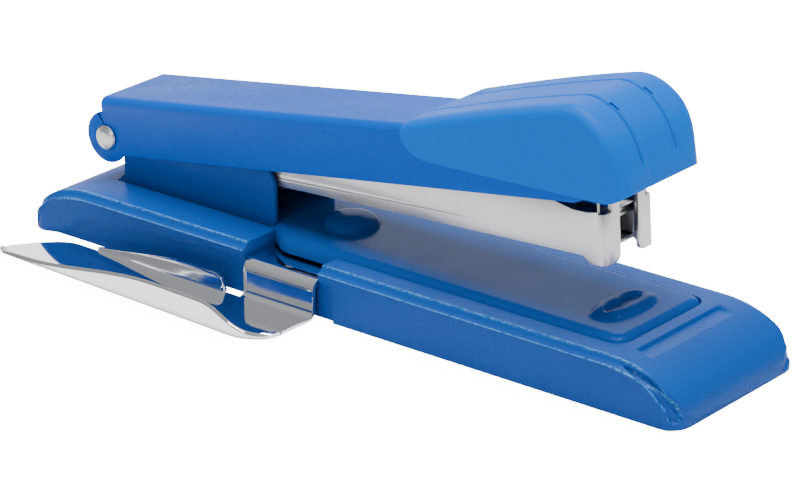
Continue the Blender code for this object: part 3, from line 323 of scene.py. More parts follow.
def finish(name, color, roughness, metallic=0.0, worn=None, grain=None, drift=0.08, smudges=0.08,
           hairlines=0.05, coat=0.0, gloss=0.5, wear_at=0.56, crest_highlight=None):
    """A Principled material: drifting colour, marks, worn edges and an optional bump."""
    material = bpy.data.materials.new(name)
    material.use_nodes = True
    tree = material.node_tree
    shader = tree.nodes["Principled BSDF"]
    tone = place_group(tree, DRIFT, Color=(*color, 1), Amount=drift)
    marks = place_group(tree, MARKS, Roughness=roughness, Smudges=smudges, Hairlines=hairlines)
    shader.inputs["Metallic"].default_value = metallic
    shader.inputs["Specular IOR Level"].default_value = gloss
    if coat:
        shader.inputs["Coat Weight"].default_value = coat
        shader.inputs["Coat Roughness"].default_value = 0.05
    tree.links.new(marks.outputs["Roughness"], shader.inputs["Roughness"])
    if worn:
        edges = place_group(tree, WEAR, Sharpness=wear_at)
        blend = tree.nodes.new("ShaderNodeMix")
        blend.data_type = "RGBA"
        tree.links.new(edges.outputs["Mask"], blend.inputs["Factor"])
        tree.links.new(tone.outputs["Color"], blend.inputs["A"])
        blend.inputs["B"].default_value = (*worn, 1)
        tree.links.new(blend.outputs["Result"], shader.inputs["Base Color"])
    else:
        tree.links.new(tone.outputs["Color"], shader.inputs["Base Color"])
    # Painted highlight: a pale colour laid along the crest lines stands in for the light those moulded edges
    # catch.
    if crest_highlight:
        lines = tree.nodes.new("ShaderNodeAttribute")
        lines.attribute_name = "crest_highlight"
        place = tree.nodes.new("ShaderNodeTexCoord").outputs["Object"]
        broken = ramp_range(tree, noise(tree, place, 1400.0, 2.0, 0.7), 0.36, 0.56)
        blend = tree.nodes.new("ShaderNodeMix")
        blend.data_type = "RGBA"
        tree.links.new(math_node(tree, "MULTIPLY", lines.outputs["Fac"], broken), blend.inputs["Factor"])
        tree.links.new(tone.outputs["Color"], blend.inputs["A"])
        blend.inputs["B"].default_value = (*crest_highlight, 1)
        tree.links.new(blend.outputs["Result"], shader.inputs["Base Color"])
    if grain:
        kind, scale, strength, depth = grain
        bump = tree.nodes.new("ShaderNodeBump")
        bump.inputs["Strength"].default_value = strength
        bump.inputs["Distance"].default_value = depth
        if kind == "leather":
            height = place_group(tree, GRAIN, Scale=scale).outputs["Height"]
        else:
            place = tree.nodes.new("ShaderNodeTexCoord").outputs["Object"]
            height = noise(tree, place, scale, 3.0, 0.55)
        tree.links.new(height, bump.inputs["Height"])
        tree.links.new(bump.outputs["Normal"], shader.inputs["Normal"])
    return material


# %% Make the finishes
FINISHES = {
    # The shell's pale crest colour is a painted highlight for its moulded lines and groove rim.
    "shell_plastic": finish("shell_plastic", (0.0002, 0.052, 0.262), 0.38, gloss=0.11,
                            grain=("leather", 1500.0, 0.55, 0.00010), drift=0.10,
                            crest_highlight=(0.060, 0.220, 0.520)),
    "frame_paint": finish("frame_paint", (0.0002, 0.050, 0.240), 0.22, gloss=0.035,
                          grain=("orange_peel", 420.0, 0.25, 0.00004), drift=0.06, coat=0.05,
                          worn=(0.05, 0.12, 0.30), wear_at=0.66),
    "arm_paint": finish("arm_paint", (0.0001, 0.070, 0.400), 0.26, gloss=0.04,
                        grain=("orange_peel", 420.0, 0.25, 0.00004), drift=0.06,
                        worn=(0.05, 0.14, 0.34), wear_at=0.66),
    "cap_plastic": finish("cap_plastic", (0.0002, 0.100, 0.470), 0.34, gloss=0.05,
                          grain=("fine", 2600.0, 0.20, 0.00004), drift=0.05),
    "chrome": finish("chrome", (0.86, 0.87, 0.88), 0.05, 1.0, smudges=0.06, hairlines=0.03, drift=0.03,
                     grain=("ripple", 160.0, 0.10, 0.00006)),
    "plated_steel": finish("plated_steel", (0.52, 0.52, 0.52), 0.30, 1.0, smudges=0.07, hairlines=0.08,
                           drift=0.05, grain=("rolled", 800.0, 0.10, 0.00003)),
    "spring_steel": finish("spring_steel", (0.42, 0.43, 0.45), 0.28, 1.0, hairlines=0.12, drift=0.10,
                           grain=("rolled", 900.0, 0.12, 0.00003)),
    "staple_wire": finish("staple_wire", (0.72, 0.72, 0.70), 0.22, 1.0, hairlines=0.06, drift=0.06,
                          grain=("rolled", 900.0, 0.10, 0.00002)),
    "rubber": finish("rubber", (0.020, 0.020, 0.021), 0.78, drift=0.15,
                     grain=("leather", 1900.0, 0.5, 0.00010)),
    "black_plastic": finish("black_plastic", (0.022, 0.022, 0.024), 0.42,
                            grain=("fine", 2200.0, 0.3, 0.00005)),
}
slots = {entry["node"]: entry["material_slot"] for entry in frame["record"]["subparts"]}


def dress(node):
    """Puts the finish of a node's own slot on its mechanical mesh."""
    mesh = frame["nodes"][node].data
    mesh.materials.clear()
    mesh.materials.append(FINISHES[slots[node]])
    for polygon in mesh.polygons:
        polygon.material_index = 0


for node in frame["nodes"]:
    dress(node)
print("finishes:", sorted(FINISHES))

# %% [markdown]
# ## Small mesh tools
#
# Most visible pieces are skins over rows of points, the way a panel beater thinks of a
# panel: one row for each station along its length. Rows are numpy arrays, so a shape
# can be pressed into the skin by moving every point along its normal.

# %% Mesh tools
def arc(centre, radius, start, end, steps):
    """Points on an arc, from start to end degrees."""
    angles = np.radians(np.linspace(start, end, steps + 1))
    return [(centre[0] + radius * math.cos(a), centre[1] + radius * math.sin(a)) for a in angles]


def smooth(value, start, end):
    """0 before start, 1 after end, with soft ends."""
    share = np.clip((value - start) / (end - start), 0.0, 1.0)
    return share * share * (3 - 2 * share)


def normals(rows):
    """Outward directions of a skin, from its rows' own slopes."""
    along = np.gradient(rows, axis=0)
    across = np.gradient(rows, axis=1)
    face = np.cross(across, along)
    return face / np.maximum(np.linalg.norm(face, axis=2, keepdims=True), 1e-9)


def skin(rows, ring=False, caps=False):
    """Mesh over rows of points in millimetres. A ring joins each row's two ends."""
    count, width = rows.shape[:2]
    last = width if ring else width - 1
    faces = []
    for i in range(count - 1):
        for j in range(last):
            k = (j + 1) % width
            faces.append((i * width + j, i * width + k, (i + 1) * width + k, (i + 1) * width + j))
    if caps:
        faces.append(tuple(reversed(range(width))))
        faces.append(tuple((count - 1) * width + j for j in range(width)))
    mesh = bpy.data.meshes.new("skin")
    mesh.from_pydata((rows.reshape(-1, 3) * MM).tolist(), [], faces)
    return outward(mesh)


def outward(mesh):
    work = bmesh.new()
    work.from_mesh(mesh)
    bmesh.ops.remove_doubles(work, verts=work.verts, dist=1e-7)
    bmesh.ops.recalc_face_normals(work, faces=work.faces)
    work.to_mesh(mesh)
    work.free()
    return mesh


def slab(outline, low, high, plane="plan"):
    """A flat outline made solid between two heights along z (plan), y (side) or x (front)."""
    place = {"plan": lambda a, b, h: (a, b, h), "side": lambda a, b, h: (a, h, b),
             "front": lambda a, b, h: (h, a, b)}[plane]
    rows = np.array([[place(a, b, h) for a, b in outline] for h in (low, high)])
    return skin(rows, ring=True, caps=True)


def block(low, high):
    outline = [(low[0], low[1]), (high[0], low[1]), (high[0], high[1]), (low[0], high[1])]
    return slab(outline, low[2], high[2])


def join(*meshes):
    """One mesh holding several, without merging them."""
    work = bmesh.new()
    for mesh in meshes:
        work.from_mesh(mesh)
    out = bpy.data.meshes.new("joined")
    work.to_mesh(out)
    work.free()
    return out


def carve(mesh, *tools, operation="DIFFERENCE"):
    """Boolean of a mesh with tool meshes, one after another."""
    body = bpy.data.objects.new("body", mesh)
    bpy.context.scene.collection.objects.link(body)
    cutters = []
    for tool in tools:
        cutter = bpy.data.objects.new("cutter", tool)
        bpy.context.scene.collection.objects.link(cutter)
        cutters.append(cutter)
        change = body.modifiers.new("cut", "BOOLEAN")
        change.operation, change.solver, change.object = operation, "MANIFOLD", cutter
    graph = bpy.context.evaluated_depsgraph_get()
    result = bpy.data.meshes.new_from_object(body.evaluated_get(graph))
    for item in [body] + cutters:
        bpy.data.objects.remove(item)
    return result


def show(name, mesh, finish_name, nodes, body, tilt=None, bevel=0.0, thick=0.0, angle=38):
    """Makes the visible piece that stands for some CAD nodes and rides on their body."""
    if tilt is not None:
        mesh.transform(tilted(tilt))
    mesh.materials.clear()
    mesh.materials.append(FINISHES[finish_name])
    piece = bpy.data.objects.new(name, mesh)
    bpy.context.scene.collection.objects.link(piece)
    if thick:
        solid = piece.modifiers.new("sheet", "SOLIDIFY")
        solid.thickness, solid.offset = thick * MM, 0.0
        solid.use_quality_normals = True
    if bevel:
        edge = piece.modifiers.new("edges", "BEVEL")
        edge.width, edge.segments = bevel * MM, 2
        edge.limit_method, edge.angle_limit = "ANGLE", math.radians(angle)
        edge.harden_normals = False
    graph = bpy.context.evaluated_depsgraph_get()
    final = bpy.data.meshes.new_from_object(piece.evaluated_get(graph))
    piece.modifiers.clear()
    piece.data = final
    final.set_sharp_from_angle(angle=math.radians(angle))
    for polygon in final.polygons:
        polygon.use_smooth = True
    for node in nodes:
        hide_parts(node)
    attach(piece, body)
    print(f"{name}: {len(final.polygons)} faces")
    return piece


# %% [markdown]
# ## The moulded base
#
# The shell is one injection moulding. A flat band runs round its upper edges between two
# crisp lines. At the nose the lower line dives early, and the space that opens becomes a
# teardrop-shaped groove which ends in a round loop near the corner. The sides are sunk a
# little below the band, and the side behind the staple remover is scooped out. The nose
# has a shallow flat-bottomed panel, which is left blank here.

# %% Base skin
LENGTH, WIDTH, TOP = HALF_LENGTH / MM, HALF_WIDTH / MM, SHELL_TOP / MM
NOSE_ROUND, TAIL_ROUND, END_FACE = 16.5, 16.0, 1.6
NOSE_CORNER, TAIL_CORNER = 4.6, 3.2
BAND_Y, BAND_Z = 1.6, 1.4
SHELL_LIFT = 0.4
REACH = 126.3
PX, PZ = PIVOT.x / MM, PIVOT.z / MM


def end_fall(distance, length):
    share = np.clip(distance / length, 0.0, 1.0)
    return (TOP - END_FACE) * (1 - np.sqrt(1 - share ** 2))


def shell_top(x):
    nose_fall = end_fall(x - (LENGTH - NOSE_ROUND), NOSE_ROUND)
    tail_fall = end_fall(TAIL_ROUND - LENGTH - x, TAIL_ROUND)
    return TOP - nose_fall - tail_fall


def shell_half(x):
    corner = NOSE_CORNER if x > 0 else TAIL_CORNER
    past = max(abs(x) - (LENGTH - corner), 0.0)
    return WIDTH - corner + math.sqrt(max(corner ** 2 - past ** 2, 0.0))


def side_line(x):
    """Height of the lower crisp line, which dives towards both ends."""
    start, end = (64.0, 79.5) if x > 0 else (65.0, 81.5)
    share = min(max((abs(x) - start) / (end - start), 0.0), 1.0)
    return SHELL_LIFT + (TOP - BAND_Z - SHELL_LIFT) * math.sqrt(1 - share ** 2)


def fillet(before, corner, after, radius, steps):
    """Points that round a corner between two straight runs, within half of each run."""
    place = np.array(corner, float)
    first, second = np.array(before, float) - place, np.array(after, float) - place
    longest = 0.45 * min(np.linalg.norm(first), np.linalg.norm(second))
    first, second = first / np.linalg.norm(first), second / np.linalg.norm(second)
    half_angle = math.acos(float(np.clip(first @ second, -1, 1))) / 2
    reach = min(radius / math.tan(half_angle), longest)
    start, end = place + first * reach, place + second * reach
    shares = np.linspace(0, 1, steps + 1)[:, None]
    return (1 - shares) ** 2 * start + 2 * shares * (1 - shares) * place + shares ** 2 * end


def shell_section(x):
    """Half a section, from the lower edge up the side and over to the middle."""
    top, half, line = float(shell_top(x)), shell_half(x), side_line(x)
    low = np.array([half, SHELL_LIFT])
    drop = min(BAND_Z, 0.6 * (top - SHELL_LIFT))
    lower, upper = np.array([half, top - drop]), np.array([half - BAND_Y, top])
    centre = np.array([0.0, top])
    side_top = top - drop - 0.16
    line = min(line, side_top - 0.3)
    shares = np.concatenate([np.linspace(0, 1, 16) * max(line - 0.35 - 0.4, 0.02),
                             np.linspace(max(line - 0.28 - 0.4, 0.03), max(line + 0.05 - 0.4, 0.06), 6)])
    heights = np.concatenate([SHELL_LIFT + shares, np.linspace(SHELL_LIFT + shares[-1], side_top, 14)[1:]])
    side = np.array([(half, z) for z in np.maximum.accumulate(np.minimum(heights, side_top))])
    round_low = fillet(low, lower, upper, 0.35, 5)
    round_up = fillet(lower, upper, centre, 0.40, 6)
    band = np.linspace(round_low[-1], round_up[0], 10)[1:-1]
    over = np.linspace(round_up[-1], centre, 34)[1:]
    return np.concatenate([side, round_low, band, round_up, over])


def stations(*runs):
    """Places along x: each run is (start, end, step)."""
    places = [np.arange(start, end, step) for start, end, step in runs]
    return np.append(np.concatenate(places), runs[-1][1])


def teardrop_spine():
    """Middle line of the groove: along the edge at first, then down the corner, wider and wider."""
    spine = []
    for share in np.linspace(0, 1, 12):
        x = 68.5 + 12.3 * share ** 0.8
        sink = 0.35 + 1.2 * share
        reach = 0.1 + 1.25 * share ** 0.7
        spine.append((x, shell_half(x) - 0.75 + 0.2 * share, float(shell_top(x)) - sink, reach))
    x, y, z, reach = spine[-1]
    return spine + [(x + 0.15, y - 0.15, z - 1.5, reach)]


def teardrop(points):
    """How deep each point lies in the groove near the nose, from 0 to 1."""
    spine = teardrop_spine()
    depth = np.zeros(len(points))
    place = np.column_stack([points[:, 0], np.abs(points[:, 1]), points[:, 2]])
    for (x0, y0, z0, r0), (x1, y1, z1, r1) in zip(spine, spine[1:]):
        start, run = np.array([x0, y0, z0]), np.array([x1 - x0, y1 - y0, z1 - z0])
        share = np.clip(((place - start) @ run) / (run @ run), 0, 1)
        away = np.linalg.norm(place - start - share[:, None] * run, axis=1)
        reach = r0 + (r1 - r0) * share
        depth = np.maximum(depth, smooth(reach - away, -0.05, 0.22))
    return depth


def scoop(points):
    """Finger scoop in the side behind the remover."""
    x, y, z = points.T
    ceiling = 6.3 + 2.4 * smooth(x, -72.0, -30.0) - 4.0 * smooth(-x, 66.0, 74.0)
    left = smooth(x + 0.9 * np.clip(3.4 - z, 0, 4) * 2.2, -73.5, -69.5)
    return smooth(ceiling - z, -0.1, 1.3) * left * (y < -15) * (x < 0)


PLACES = stations((-LENGTH, -60, 0.35), (-60, 60, 0.9), (60, 68, 0.5), (68, 75.2, 0.2), (75.2, LENGTH, 0.24))
half_rows = [shell_section(x) for x in PLACES]
rows = []
for x, half_row in zip(PLACES, half_rows):
    across = np.concatenate([half_row, (half_row * [-1, 1])[::-1][1:]])
    rows.append(np.column_stack([np.full(len(across), x), across]))
rows = np.array(rows)
out = -normals(rows)
out *= np.sign(out[len(PLACES) // 2, 3, 1])
flat = rows.reshape(-1, 3)
push = np.zeros(len(flat))
lines = np.repeat([side_line(x) for x in PLACES], rows.shape[1])
halves = np.repeat([shell_half(x) for x in PLACES], rows.shape[1])
tops = np.repeat(shell_top(PLACES), rows.shape[1])
on_side = (np.abs(flat[:, 1]) > halves - 0.02) & (flat[:, 2] < tops - BAND_Z)
push -= 0.28 * smooth(lines - flat[:, 2], -0.05, 0.28) * on_side
band_share = (halves - np.abs(flat[:, 1])) / BAND_Y
in_band = np.clip(band_share * (1 - band_share) * 4, 0, 1) * (flat[:, 2] > tops - BAND_Z - 0.01)
push -= 0.30 * in_band
push -= 0.70 * teardrop(flat)
push -= 1.0 * scoop(flat)
flat = flat + out.reshape(-1, 3) * push[:, None]
panel_x = smooth(flat[:, 0], 68.5, 68.75)
panel_y = smooth(13.2 - np.abs(flat[:, 1]), 0, 0.45)
floor_z = TOP - 0.75
cut = np.clip(flat[:, 2] - floor_z, 0, None) * (flat[:, 0] > 60) * panel_x * panel_y
flat[:, 2] -= cut
shell_mesh = skin(flat.reshape(rows.shape), ring=True, caps=True)
print("shell points:", len(flat))

# %% [markdown]
# The shell's openings are cut afterwards, as slides and cores cut them in a mould: the
# pocket for the steel plate, the notch for the remover's clip and the room for the pad.

# %% Cut the base's openings
PLATE_HALF, EAR_OUT, EAR_IN, PLATE_FRONT, PLATE_CORNER = 13.6, 9.15, 8.15, 65.3, 3.2
SHOULDER_X, SHOULDER_LENGTH = PX + 53.0, 9.0
CLIP_START, CLIP_LENGTH, CLIP_GAP = 46.5, 18.8, 0.4
CLIP_REAR = PX + CLIP_START - CLIP_GAP
CLIP_FRONT = CLIP_REAR + CLIP_LENGTH + 2 * CLIP_GAP
PLATE_REAR = PX + 2.2
SHELL_WALL = 1.8
FAR = 40.0


def plate_half(x, grow=0.0):
    """Half width of the steel plate: wide in front, a narrow tail between the ears."""
    tail, wide = EAR_OUT + grow, PLATE_HALF + grow
    share = float(np.clip((x - SHOULDER_X + SHOULDER_LENGTH + grow / 2) / SHOULDER_LENGTH, 0, 1))
    half = tail + (wide - tail) * (1 - math.cos(math.pi * share)) / 2
    corner = PLATE_CORNER + grow
    past = max(x - (PLATE_FRONT + grow - corner), 0.0)
    return half - (corner - math.sqrt(max(corner ** 2 - past ** 2, 0.0)))


def plate_outline(grow):
    quarter = np.radians(np.linspace(0, 90, 10))
    shoulder = np.linspace(SHOULDER_X - SHOULDER_LENGTH - grow, SHOULDER_X, 20)
    corner = PLATE_FRONT + grow - (PLATE_CORNER + grow) * (1 - np.sin(quarter))
    xs = np.concatenate([[PLATE_REAR - grow], shoulder, corner])
    upper = [(x, plate_half(x, grow)) for x in xs]
    return upper + [(x, -y) for x, y in reversed(upper)]


def rounded(half_x, half_y, radius, steps=6):
    """A rounded rectangle about the middle."""
    points = []
    for turn, (sx, sy) in enumerate(((1, 1), (-1, 1), (-1, -1), (1, -1))):
        centre = (sx * (half_x - radius), sy * (half_y - radius))
        points += arc(centre, radius, 90 * turn, 90 * turn + 90, steps)
    return points


pocket = slab(plate_outline(0.4), 9.0, 30.0)
pad_room = slab(rounded(LENGTH - SHELL_WALL, WIDTH - SHELL_WALL, NOSE_CORNER - SHELL_WALL), -5.0, 2.8)
clip_notch = block((CLIP_REAR, -FAR, 7.8), (CLIP_FRONT, -EAR_IN, FAR))
clip_step = block((CLIP_REAR, -FAR, 6.25), (CLIP_FRONT, -WIDTH + 1.43, 7.9))
shell_mesh = carve(shell_mesh, pocket, pad_room, clip_notch, clip_step)


def crest_highlight(points):
    """1 on the moulded lines and round the groove's rim, where a pale painted highlight stands in for the
    light those edges catch, 0 elsewhere.
    """
    x, y, z = points[:, 0], np.abs(points[:, 1]), points[:, 2]
    share = (np.array([shell_half(place) for place in x]) - y) / BAND_Y
    lines = np.exp(-((share - 0.05) / 0.10) ** 2) + np.exp(-((share - 1.05) / 0.10) ** 2)
    lines *= (z > shell_top(x) - BAND_Z - 0.3) * (y > 14) * smooth(76.0 - np.abs(x), 0, 4)
    groove = teardrop(points)
    return np.clip(lines + 4 * groove * (1 - groove), 0, 1)


places = np.array([vertex.co[:] for vertex in shell_mesh.vertices]) / MM
# Painted highlight: this layer marks where the pale highlight colour is painted on the shell's lines.
crest_highlight_layer = shell_mesh.attributes.new("crest_highlight", "FLOAT", "POINT")
crest_highlight_layer.data.foreach_set("value", crest_highlight(places).astype(np.float32))
show("base_cover", shell_mesh, "shell_plastic", ["base_shell"], "base", angle=32)

# %% [markdown]
# ## The pressed plate and ears
#
# One steel stamping makes the plate, its rolled rim and the two ears. The die leaves soft
# shapes: a round stop for the magazine, and an oval anvil with two shallow pockets that
# curl the staple's legs. The ears are sheared edges, so they only get a small bevel.

# %% Pressed plate
PLATE_TOP, ROLL, RIM_LOW = TOP + 0.4, 1.9, 9.3
ANVIL_X, STOP_X = PX + REACH - 1.3, PX + 57.7
EAR_FRONT, EAR_RISE, EAR_BACK, EAR_LOBE, EAR_ROUND = 45.3, 3.9, 3.7, 4.3, 5
RIVET_HOLE = 1.72


def roll_drop(distance):
    """How far the rolled rim has fallen at a distance inside the outline."""
    past = np.clip(ROLL - distance, 0, ROLL)
    return ROLL - np.sqrt(np.maximum(ROLL ** 2 - past ** 2, 0))


def pressed(x, y):
    """Height pressed into the plate: the round stop and the anvil with its pockets."""
    away = np.hypot(x - STOP_X, y) / 5.5
    stop = 2.5 * np.sqrt(np.clip(1 - away ** 2.6, 0, 1)) * smooth(1.02 - away, 0, 0.12)
    oval = (np.abs((x - ANVIL_X) / 4.7) ** 2.4 + np.abs(y / 9.0) ** 2.4) ** (1 / 2.4)
    mound = 1.25 * smooth(1.0 - oval, 0.0, 0.42)
    waist = 1.7 - 0.35 * np.exp(-(y / 1.2) ** 2)
    lobe = (np.abs((x - ANVIL_X) / waist) ** 2.2 + np.abs(y / 6.3) ** 2.6) ** (1 / 2.3)
    pocket_depth = 0.95 * smooth(1.08 - lobe, 0, 0.40)
    return stop + mound - pocket_depth


def plate_rows():
    roll_x = PLATE_FRONT - ROLL * (1 - np.sin(np.radians(np.linspace(0, 90, 9))))
    xs = np.concatenate([np.arange(PLATE_REAR, SHOULDER_X - SHOULDER_LENGTH, 1.5),
                         np.arange(SHOULDER_X - SHOULDER_LENGTH, -4, 0.4), np.arange(-4, 50, 1.6),
                         np.arange(50, PLATE_FRONT - ROLL, 0.35), roll_x])
    found = []
    for x in xs:
        half = plate_half(x)
        inset = ROLL * (1 - np.cos(np.radians(np.linspace(0, 90, 7))))
        ys = np.concatenate([half - inset, np.linspace(half - ROLL, 0, 28)[1:]])
        gap = np.minimum(half - ys, PLATE_FRONT - x)
        corner_x, corner_y = PLATE_FRONT - PLATE_CORNER, PLATE_HALF - PLATE_CORNER
        if x > corner_x:
            round_gap = PLATE_CORNER - np.hypot(x - corner_x, np.maximum(ys - corner_y, 0))
            gap = np.minimum(gap, round_gap)
        z = PLATE_TOP - roll_drop(np.maximum(gap, 0)) + pressed(np.full_like(ys, x), ys)
        half_row = np.column_stack([np.full(len(ys) + 1, x), np.append(half, ys), np.append(RIM_LOW, z)])
        found.append(np.concatenate([half_row, (half_row * [1, -1, 1])[::-1][1:]]))
    end = found[-1] * [1, 1, 0] + [0, 0, RIM_LOW]
    found.append(end)
    return np.array(found)


def ear_outline():
    """Side view of an ear: round lobe about the rivet, long straight top, rounded front."""
    front, top, floor_height = PX + EAR_FRONT, PZ + EAR_RISE, PLATE_TOP - 0.6
    outline = [(PX + EAR_BACK, floor_height), (front, floor_height)]
    outline += arc((front - EAR_ROUND, top - EAR_ROUND), EAR_ROUND, 0, 90, 12)
    low = -math.degrees(math.acos(EAR_BACK / EAR_LOBE))
    return outline + arc((PX, PZ), EAR_LOBE, 90, 360 + low, 36)


show("plate_and_ears", skin(plate_rows()), "frame_paint", ["base_frame"], "base", thick=0.9, angle=50)
ear_meshes = [slab(ear_outline(), *sorted((side * EAR_IN, side * EAR_OUT)), "side") for side in (-1, 1)]
hole = slab(arc((PX, PZ), RIVET_HOLE, 0, 348, 31), -20, 20, "side")
ears = [carve(mesh, hole) for mesh in ear_meshes]
show("ears", join(*ears), "frame_paint", [], "base", bevel=0.28, angle=40)

# %% [markdown]
# ## The arm
#
# A folded steel channel: two flat sides, a flat top and generous outer bends. Its rear
# ends in round lobes about the rivet. The cross-section is swept along and trimmed to
# the side view, which is how the blank is folded and cropped.

# %% Arm channel
ARM_TOP, ARM_OUT, ARM_IN, ARM_WEB, ARM_BEND = 8.46, 10.2, 9.45, 7.71, 1.8
ARM_LOBE, ARM_DEPTH, ARM_END = 5.47, 12.2, 128.5


def arm_section():
    low = -8.0
    outer = [(-ARM_OUT, low)] + arc((-ARM_OUT + ARM_BEND, ARM_TOP - ARM_BEND), ARM_BEND, 180, 90, 10)
    outer += [(-y, z) for y, z in reversed(outer)]
    bend = ARM_BEND - (ARM_OUT - ARM_IN)
    inner = [(ARM_IN, low)] + arc((ARM_IN - bend, ARM_WEB - bend), bend, 0, 90, 6)
    inner += [(-y, z) for y, z in reversed(inner)]
    return outer + inner


def arm_side():
    low, lobe, end = ARM_TOP - ARM_DEPTH, ARM_LOBE, ARM_END
    meet_top = math.degrees(math.acos(-0.3 / lobe))
    meet_low = 360 - math.degrees(math.acos(math.sqrt(lobe ** 2 - low ** 2) / lobe))
    outline = [(-0.3, ARM_TOP + 2.0)] + arc((0, 0), lobe, meet_top, meet_low, 48)
    return outline + [(end - 7, low), (end, low + 2.2), (end, ARM_TOP + 2.0)]


arm_mesh = slab(arm_section(), -7.0, 130.0, "front")
arm_mesh = carve(arm_mesh, slab(arm_side(), -20, 20, "side"), operation="INTERSECT")
rivet_hole = slab(arc((0, 0), RIVET_HOLE, 0, 348, 31), -20, 20, "side")
nose_room = block((124.4, -8.05, -30), (140, 8.05, 30))
arm_mesh = carve(arm_mesh, rivet_hole, nose_room)
show("arm_shell", arm_mesh, "arm_paint", ["arm_channel"], "arm", tilt=ARM_TILT, bevel=0.16, angle=40)

# %% [markdown]
# ## The cap
#
# A thin moulding clipped over the arm's nose. Its crest rises from a thin rear edge and
# rounds over at the front. Two fine grooves run from the rear edge over the crest and
# down the front, and the band between them has a shallow blank panel near its lower end.

# %% Cap
CAP_ROUND, CAP_CREST, CAP_HALF, CAP_CORNER, CAP_EDGE, CAP_WALL = 11.6, 15.9, 13.2, 3.6, 2.6, 1.7
CAP_FRONT = REACH + 8.7
CAP_REAR, CAP_CROWN = CAP_FRONT - 51.5, CAP_FRONT - CAP_ROUND
GROOVE_Y, PIT_X = 5.3, 129.2


def cap_top(x, lift=0.0):
    if x <= CAP_CROWN:
        share = (x - CAP_REAR) / (CAP_CROWN - CAP_REAR)
        thin = 0.8 * (1 - math.sqrt(1 - max(1 - (x - CAP_REAR) / 2.5, 0.0) ** 2))
        return 9.9 + (CAP_CREST - 9.9) * (1.18 * share - 0.18 * share ** 3) - thin - lift
    share = (x - CAP_CROWN) / CAP_ROUND
    drop = 1 - max(1 - share ** 2.0, 0.0) ** (1 / 2.3)
    return CAP_CREST - (CAP_CREST + 2.3 - 2.0) * drop - lift


def cap_bottom(x):
    line = 1.8 + (-2.3 - 1.8) / 35.0 * (x - CAP_REAR - 12)
    back_lift = 1 - math.sqrt(1 - max(1 - (x - CAP_REAR) / 6.5, 0.0) ** 2)
    ahead = max((x - CAP_FRONT + 5) / 5, 0.0)
    return line + 4.4 * back_lift + 1.6 * ahead ** 2


def cap_half(x):
    past = max(x - (CAP_FRONT - CAP_CORNER), 0.0)
    return CAP_HALF - (CAP_CORNER - math.sqrt(max(CAP_CORNER ** 2 - past ** 2, 0.0)))


def cap_section(x, bottom, top, half, edge):
    edge = min(edge, 0.9 * half, 0.9 * (top - bottom))
    side = np.array([(half, z) for z in np.linspace(bottom, top - edge, 16)])
    bend = np.array(arc((half - edge, top - edge), edge, 0, 90, 12))[1:]
    marks = GROOVE_Y + np.array([-0.6, -0.3, -0.15, 0.0, 0.15, 0.3, 0.6])
    ys = np.concatenate([np.linspace(half - edge, 6.2, 8)[1:], marks[::-1], np.linspace(4.5, 0, 12)])
    half_row = np.concatenate([side, bend, np.column_stack([ys, np.full(len(ys), top)])])
    ring = np.concatenate([half_row, (half_row * [-1, 1])[::-1][1:]])
    return np.column_stack([np.full(len(ring), x), ring])


def cap_places(inset, back_steps, front_steps):
    front, rear = CAP_FRONT - inset, CAP_REAR + inset
    back = rear + (CAP_CROWN - rear) * np.linspace(0, 1, back_steps, endpoint=False) ** 1.5
    ahead = CAP_CROWN + (front - CAP_CROWN) * np.sin(np.linspace(0, math.pi / 2, front_steps))
    return np.concatenate([back, ahead])


outer_rows = np.array([cap_section(x, cap_bottom(x), cap_top(x), cap_half(x), CAP_EDGE)
                       for x in cap_places(0, 60, 56)])
away = normals(outer_rows)
away *= np.sign(away[30, outer_rows.shape[1] // 2, 2])
spots = outer_rows.reshape(-1, 3)
groove = smooth(0.42 - np.abs(np.abs(spots[:, 1]) - GROOVE_Y), 0, 0.24)
groove *= spots[:, 2] > 3.0
blank = smooth(4.3 - np.abs(spots[:, 1]), 0, 0.3) * smooth(spots[:, 0], 132.5, 133.0)
blank *= smooth(7.2 - spots[:, 2], 0, 0.5) * smooth(spots[:, 2], 0.6, 1.1)
spots = spots - away.reshape(-1, 3) * (0.48 * groove + 0.10 * blank)[:, None]
cap_mesh = skin(spots.reshape(outer_rows.shape), ring=True, caps=True)
inner_rows = []
for x in cap_places(CAP_WALL, 14, 14):
    top = min(cap_top(x, CAP_WALL), cap_top(x + 1.2, 1.0))
    if top > ARM_TOP - 5:
        inner_rows.append(cap_section(x, -20.0, top, cap_half(x + CAP_WALL) - CAP_WALL, 1.75))
cap_hollow = skin(np.array(inner_rows), ring=True, caps=True)
tunnel = block((-60, -ARM_OUT - 0.3, -60), (ARM_END + 0.3, ARM_OUT + 0.3, ARM_TOP + 0.3))
pits = [block((PIT_X - 0.9, side * GROOVE_Y - 0.8, 5.0), (PIT_X + 0.9, side * GROOVE_Y + 0.8, 30.0))
        for side in (-1, 1)]
PIT_DEPTH = 0.45
pit_rows = [cap_section(x, -6.0, cap_top(x, PIT_DEPTH), cap_half(x), CAP_EDGE)
            for x in cap_places(PIT_DEPTH, 30, 20)]
pit_floor = skin(np.array(pit_rows), ring=True, caps=True)
pits = [carve(pit, pit_floor.copy()) for pit in pits]
cap_mesh = carve(cap_mesh, cap_hollow, tunnel, *pits)
show("cap_cover", cap_mesh, "cap_plastic", ["cap"], "arm", tilt=ARM_TILT, angle=40)

# %% [markdown]
# ## The staple remover
#
# A chromed spring-steel stamping: a thin leaf-shaped blade, two turned-up walls that
# stiffen it, and a clip that wraps over the base's edge and tucks under the plate. All
# of it is one sheet, so it is built as one skin with three strips that share an edge.

# %% Staple remover
LEAF_TIP, LEAF_REAR_CLIP = PX - 8.6, PX + CLIP_START
LEAF_FRONT = LEAF_REAR_CLIP + CLIP_LENGTH
WALL_RISE = 4.6
LEAF_Z, SHEET = 0.9, 0.7


